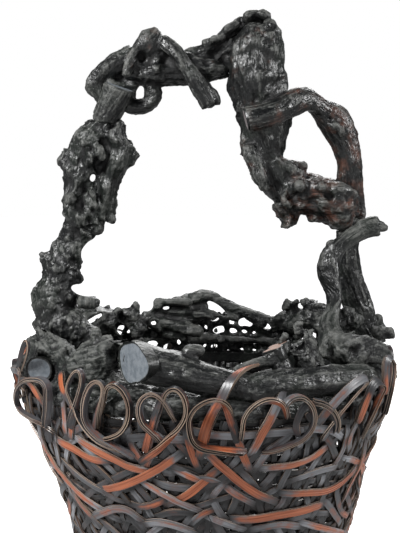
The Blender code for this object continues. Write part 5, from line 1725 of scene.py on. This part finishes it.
def drill(item, holes):
    """Holes right through a piece, along the sight line."""
    shape = bmesh.new()
    for u, v, across, tall, tilt in holes:
        near, far = (at(u, v, depth) for depth in DRILL_DEPTHS)
        turn = Matrix((
            (1, 0, 0),
            (0, math.sin(CAMERA_TILT), math.cos(CAMERA_TILT)),
            tuple((far - near).normalized()),
        )).transposed().to_4x4()
        turn.translation = (near + far) / 2
        tilted = Matrix.Rotation(math.radians(-tilt), 4, "Z")
        oval = Matrix.Diagonal((across, tall, 1, 1))
        bmesh.ops.create_cone(
            shape,
            cap_ends=True,
            segments=18,
            radius1=(near - CAMERA_PLACE).length / FOCAL_PIXELS,
            radius2=(far - CAMERA_PLACE).length / FOCAL_PIXELS,
            depth=(far - near).length,
            matrix=turn @ tilted @ oval,
        )
    bmesh.ops.recalc_face_normals(shape, faces=shape.faces)
    tool = placed("holes", mesh_from(shape, "holes"))
    cut = item.modifiers.new("holes", "BOOLEAN")
    cut.object = tool
    cut.solver = "EXACT"
    return tool


def grain_frame(name, tree_points):
    """A function that gives distances across and along a root at any point."""
    if name in BENT_ROOTS:
        line = smooth_path([at(u, v, depth * MM) for u, v, depth in BENT_ROOTS[name]], 8)
    else:
        middle = tree_points.mean(axis=0)
        axis = np.linalg.svd(tree_points - middle, full_matrices=False)[2][0]
        span = (tree_points - middle) @ axis
        line = middle + np.linspace(span.min(), span.max(), 12)[:, None] * axis
    ahead = unit(np.gradient(line, axis=0))
    aside = np.zeros_like(ahead)
    aside[0] = np.cross(ahead[0], [0.3, 0.4, 0.87])
    for k in range(1, len(line)):
        aside[k] = aside[k - 1] - ahead[k] * (aside[k - 1] @ ahead[k])
    aside = unit(aside)
    third = np.cross(ahead, aside)
    run = run_of(line)

    def measure(places):
        nearest = np.argmin(((places[:, None] - line[None]) ** 2).sum(axis=2), axis=1)
        apart = places - line[nearest]
        along = run[nearest] + (apart * ahead[nearest]).sum(axis=1)
        return np.stack([(apart * aside[nearest]).sum(1), (apart * third[nearest]).sum(1), along], 1)

    return measure


def each(places, scale, function):
    """What a function of one place gives at each of them."""
    return np.array([function(Vector(place)) for place in places * scale])


def fused(name, roots, spurs, holes, voxel, softness, rng):
    """The roots, their spurs and their nubs as one skin."""
    bare = bpy.data.meshes.new("bare_root")
    shape = bmesh.new()
    for root in roots:
        single = merged(root)
        single.normal_update()
        for vertex in single.verts:
            vertex.co += vertex.normal * ROOT_LOOKS[root][OUTSIDE] * MM
        single.to_mesh(bare)
        single.free()
        shape.from_mesh(bare)
    for start, end, depth, thick, thin in spurs:
        spur(shape, at(*start, depth * MM), at(*end, depth * MM), thick * MM, thin * MM)
    for root in roots:
        grow_nubs(shape, root, rng)
    item = placed(name, mesh_from(shape, name))
    bpy.data.meshes.remove(bare)
    voxel = voxel * MM * (1 if HEAVY else 1.6)
    add_skin(item, "skin", voxel)
    tool = drill(item, holes) if holes else None
    if tool:
        add_skin(item, "skin over the holes", voxel)
    soften(item, 0.5, softness)
    settle(item)
    if tool:
        bpy.data.objects.remove(tool)
    return item


def off_sight_line(places, root, cut):
    """The places with none in front of a sawn end that the photograph shows whole."""
    outline = np.array(SAWN_ENDS[root][1])
    if not len(outline):
        return places
    centre = outline.mean(axis=0)
    across, along = (outline - centre).T
    turns = np.arctan2(along, across)
    order = np.argsort(turns)
    u, v, _ = in_photo(places)
    turned = np.arctan2(v - centre[1], u - centre[0])
    edge = np.interp(turned, turns[order], np.hypot(across, along)[order], period=2 * math.pi)
    away = np.hypot(u - centre[0], v - centre[1]) - edge - CUT_EDGE
    facing, camera = np.array(cut[1]), np.array(CAMERA_PLACE)
    rays = places - camera
    share = ((np.array(cut[0]) - camera) @ facing) / (rays @ facing)
    fall = for_facing(facing, CUT_CLEARED)
    kept = np.clip(away / fall, 0, 1)
    kept = kept * kept * (3 - 2 * kept)
    hiding = (away < fall) & (share > 1) & (share < CUT_NEAR)
    back = share / (1 + (share - 1) * kept) + CUT_BEHIND * (1 - kept) ** 6
    places[hiding] = camera + rays[hiding] * back[hiding, None]
    return places


def clear_of_holes(places, holes):
    """0 at the edge of a hole and 1 well away from it, so that bark doesn't close it."""
    u, v, _ = in_photo(places)
    share = np.ones(len(places))
    for hole in holes:
        right, down = in_hole(u, v, hole)
        away = (np.hypot(right, down) - 1) * min(hole[2], hole[3])
        share = np.minimum(share, np.clip(away / 4, 0.15, 1))
    return share


def looks_at(roots, places):
    """The look of the roots at each place, how far it is one root's, and its place in the grain."""
    shapes = [merged(root) for root in roots]
    trees = [BVHTree.FromBMesh(shape) for shape in shapes]
    away = np.array([[tree.find_nearest(Vector(place))[3] for tree in trees] for place in places])
    share = np.exp(-(((away - away.min(axis=1, keepdims=True)) / (2.5 * MM)) ** 2))
    share /= share.sum(axis=1, keepdims=True)
    nearest = away.argmin(axis=1)
    grain = np.zeros_like(places)
    for index, root in enumerate(roots):
        mine = nearest == index
        if mine.any():
            corners = np.array([vertex.co for vertex in shapes[index].verts])
            grain[mine] = grain_frame(root, corners)(places[mine])
    for shape in shapes:
        shape.free()
    single = np.clip(share.max(axis=1) * 2 - 1, 0, 1)
    return share @ np.array([ROOT_LOOKS[root] for root in roots]), single, grain


def evenly(values):
    """The values about their middle, so that most lie between -1 and 1."""
    return np.clip((values - values.mean()) / (values.std() * 1.6), -1.6, 1.6)


def crest(place):
    return noise.ridged_multi_fractal(place, 1.0, 2.1, 3, 1.0, 2.0)


def crack(place):
    nearest = noise.voronoi(place)[0]
    return min((nearest[1] - nearest[0]) * 5, 1)


def bark(places, grain, looks, single):
    """Heights of the bark in millimetres: its main forms, and its detail."""
    shift = each(places, 1 / (14 * MM), noise.noise_vector)
    warped = places + 4 * MM * shift
    broad = each(places, 1 / (22 * MM), lambda p: noise.fractal(p, 1.0, 2.1, 2))
    crests = evenly(each(warped, 1 / (21 * MM), crest))
    cracks = each(warped, 1 / (7.5 * MM), crack) - 1
    crumbs = each(places, 1 / (2.6 * MM), lambda p: noise.fractal(p, 0.8, 2.0, 2))
    long = grain + shift * 1.5 * MM
    folds = evenly(each(long * np.array([1 / 13, 1 / 13, 1 / 60]) / MM, 1.0, crest))
    thin = long * np.array([1 / 3.2, 1 / 3.2, 1 / 34]) / MM
    fibre = each(thin, 1.0, lambda p: 1 - 2 * abs(noise.noise(p)))
    heights = looks.T
    main = heights[BROAD] * broad * 1.5 + heights[CRESTS] * crests + heights[FOLDS] * folds * single
    detail = heights[CRACKS] * cracks + heights[CRUMBS] * crumbs
    return main, detail + heights[FIBRE] * fibre * single * 0.75


def pressed(item, places, height, stamps):
    """The heights with the hollows and swellings that the photograph shows."""
    tree = tree_of(places)
    faces = [tuple(face.vertices) for face in item.data.polygons]
    surface = BVHTree.FromPolygons([tuple(place) for place in places], faces)
    for u, v, radius, rise in stamps:
        hit = surface.ray_cast(CAMERA_PLACE, sight(u, v))[0]
        if hit is None:
            continue
        for _, index, distance in tree.find_range(hit, radius * 1.6 * MM):
            height[index] += rise * math.exp(-((distance / (radius * 0.62 * MM)) ** 2))
    return height


def standing_out(mesh, places, normals, rounds):
    """How far each place stands out from its surroundings, in millimetres."""
    ends = np.empty(len(mesh.edges) * 2, int)
    mesh.edges.foreach_get("vertices", ends)
    one, other = ends.reshape(-1, 2).T
    number = len(places)
    count = np.bincount(one, minlength=number) + np.bincount(other, minlength=number)
    soft = places
    for _ in range(rounds):
        sums = [
            np.bincount(one, soft[other, k], number) + np.bincount(other, soft[one, k], number)
            for k in range(3)
        ]
        soft = np.stack(sums, 1) / count[:, None]
    return ((places - soft) * normals).sum(axis=1) / MM


def root_wood(
    name, finish, slot, roots, spurs=(), stamps=(), pushes=(), holes=(), voxel=1.15, softness=4
):
    """Roots fused into one gnarled piece of wood, with bark, crests, fibre and sawn ends."""
    item = fused(name, roots, spurs, holes, voxel, softness, random.Random(name))
    mesh = item.data
    places = points_of(mesh)
    normals = normals_of(mesh)
    looks, single, grain = looks_at(roots, places)
    height, detail = bark(places, grain, looks, single)
    height = pressed(item, places, height, stamps)
    risen = (height + detail) * clear_of_holes(places, holes)
    moved = pushed(places + normals * (risen * MM)[:, None], pushes)
    mesh.vertices.foreach_set("co", moved.ravel())
    mesh.update()
    normals = normals_of(mesh)
    # How far each place stands out; the finish turns it into painted shade in hollows and painted light
    # on heights
    near = standing_out(mesh, moved, normals, NEAR_ROUNDS)
    relief = near * 0.9 + standing_out(mesh, moved, normals, FAR_ROUNDS) * 0.22
    cuts = []
    for root, (_, _, clear, warmth) in SAWN_ENDS.items():
        cut = cut_ring(root, CUT_CORNERS)
        moved = off_sight_line(moved, root, cut)
        if root in roots:
            moved = clear_of_cut(moved, cut, clear)
            cuts.append((cut, warmth))
    mesh.vertices.foreach_set("co", moved.ravel())
    colours = np.ones((len(places), 4))
    colours[:, 0] = np.clip(0.5 + relief * 0.5, 0, 1)
    colours[:, 1] = 0
    colours[:, 2] = looks[:, REDNESS]
    mark_points(mesh, "wood", colours)
    mark_points(mesh, "grain", grain)
    mesh.materials.clear()
    mesh.materials.append(finish)
    shape = bmesh.new()
    shape.from_mesh(mesh)
    for cut, warmth in cuts:
        add_cut(shape, cut, warmth)
    shape.to_mesh(mesh)
    shape.free()
    mesh.shade_smooth()
    mesh.set_sharp_from_angle(angle=math.radians(62))
    return show(item, slot, *roots)


def build_wood():
    """All the root wood. Its noise would start from the clock if it weren't seeded."""
    noise.seed_set(7)
    dark = root_finish("dark_root_wood", 0.0, -0.10, 0.34)
    warm = root_finish("brown_root_wood", 0.14, -0.10, 0.33)
    grey = root_finish("grey_root_wood", -0.08, 0.17, 0.38)
    root_wood(
        "handle_left_side", dark, "dark_root_wood",
        ["handle_left_root", "handle_left_burl", "handle_left_flap"],
        LEFT_SPURS, LEFT_STAMPS, LEFT_PUSHES, LEFT_HOLES,
    )
    root_wood("handle_neck", grey, "dark_root_wood", ["handle_left_neck"])
    root_wood(
        "handle_top_root", dark, "dark_root_wood",
        [
            "handle_shoulder", "handle_top_bar", "handle_hooded_knob", "handle_cut_arm",
            "handle_hook", "handle_top_vine",
        ],
        TOP_SPURS, TOP_STAMPS, TOP_PUSHES,
    )
    root_wood(
        "handle_right_side", warm, "brown_root_wood",
        [
            "handle_right_burl", "handle_right_trunk", "handle_bark_tongue",
            "handle_right_knuckle", "handle_side_loop",
        ],
        RIGHT_SPURS, RIGHT_STAMPS, RIGHT_PUSHES, voxel=1.2, softness=9,
    )
    root_wood(
        "handle_right_legs", dark, "dark_root_wood",
        ["handle_right_leg", "handle_crook_branch"],
        LEG_SPURS, pushes=LEG_PUSHES,
    )
    root_wood(
        "rim_front_wood", dark, "dark_root_wood",
        ["rim_front_branch", "rim_front_log", "rim_small_stub"],
        RIM_FRONT_SPURS, RIM_STAMPS,
    )
    root_wood(
        "rim_left_wood", grey, "grey_root_wood",
        ["rim_left_root", "rim_left_cut_branch", "rim_inner_root"],
        RIM_LEFT_SPURS, RIM_STAMPS, RIM_LEFT_PUSHES, RIM_LEFT_HOLES,
    )
    root_wood("rim_under_wood", dark, "dark_root_wood", ["rim_under_branch"], RIM_UNDER_SPURS)
    root_wood(
        "rim_right_wood", grey, "grey_root_wood",
        ["rim_right_fan", "rim_right_root", "rim_rough_knot"],
        RIM_RIGHT_SPURS, RIM_STAMPS, RIM_RIGHT_PUSHES, softness=7,
    )
    root_wood(
        "rim_back_wood", dark, "dark_root_wood",
        ["rim_back_base_root", "rim_back_left_root", "rim_back_right_root", "rim_back_arch_root"],
        BACK_SPURS, (), BACK_PUSHES, BACK_GAPS, voxel=1.3,
    )


# Stage and camera. Each lamp: place, size and power
LAMPS = {
    "window_left": ((-0.95, -0.75, 1.15), 0.45, 30),
    "window_right": ((1.15, -0.30, 0.90), 0.40, 13),
    "window_behind": ((0.15, 1.2, 1.1), 0.8, 14),
    "front_fill": ((0.25, -1.5, 0.45), 0.6, 3),
}
LAMPS_AIM = Vector((0, 0, 0.25))
FLOOR_RADIUS = 6.0


def build_floor():
    paper = Finish("pale_paper")
    seen = paper.add("ShaderNodeLightPath", output="Is Camera Ray")
    far = paper.add("ShaderNodeVectorMath", {"operation": "LENGTH"}, {0: paper.place()}, output=1)
    glow = paper.mix(far.between(0.4, 2.4), (0.78, 0.78, 0.78), (0.985, 0.985, 0.985))
    glow = paper.mix(seen, (0.0, 0.0, 0.0), glow)
    colour = paper.mix(seen, (0.40, 0.40, 0.40), (0.80, 0.80, 0.79))
    paper.finish(Base_Color=colour, Roughness=0.9, Emission_Color=glow, Emission_Strength=1.0)
    shape = bmesh.new()
    bmesh.ops.create_circle(shape, cap_ends=True, segments=96, radius=FLOOR_RADIUS)
    floor = placed("pale_floor", mesh_from(shape, "pale_floor"))
    floor.data.materials.append(paper.material)


def build_room():
    """A faint light from all sides, and white where the camera looks past the floor."""
    bpy.context.scene.world = bpy.data.worlds.new("pale_room")
    room = Nodes(bpy.context.scene.world)
    background = room.tree.nodes["Background"]
    room.feed(background.inputs["Color"], (0.93, 0.95, 1.0))
    room.feed(background.inputs["Strength"], 0.10)
    sky = Number(room, background.outputs[0])
    backdrop = room.add("ShaderNodeBackground", values={"Color": (1.0, 1.0, 1.0), "Strength": 1.0})
    seen = room.add("ShaderNodeLightPath", output="Is Camera Ray")
    either = room.add("ShaderNodeMixShader", values={0: seen, 1: sky, 2: backdrop})
    room.feed(room.tree.nodes["World Output"].inputs["Surface"], either)


def build_lamps():
    for name, (place, size, power) in LAMPS.items():
        data = bpy.data.lights.new(name, "AREA")
        data.shape = "DISK"
        data.size = size
        data.energy = power
        lamp = placed(name, data)
        lamp.location = place
        lamp.rotation_euler = (LAMPS_AIM - lamp.location).to_track_quat("-Z", "Y").to_euler()


def build_camera():
    data = bpy.data.cameras.new("photo_camera")
    data.sensor_width = SENSOR
    data.lens = FOCAL_PIXELS / PHOTO_HEIGHT * SENSOR
    data.clip_end = 50
    camera = placed("photo_camera", data)
    camera.location = CAMERA_PLACE
    camera.rotation_euler = (math.pi / 2 - CAMERA_TILT, 0, 0)
    bpy.context.scene.camera = camera
    bpy.context.scene.view_settings.view_transform = "Standard"


build_floor()
build_room()
build_lamps()
build_camera()
build_weave()
build_loops()
build_base()
build_wood()
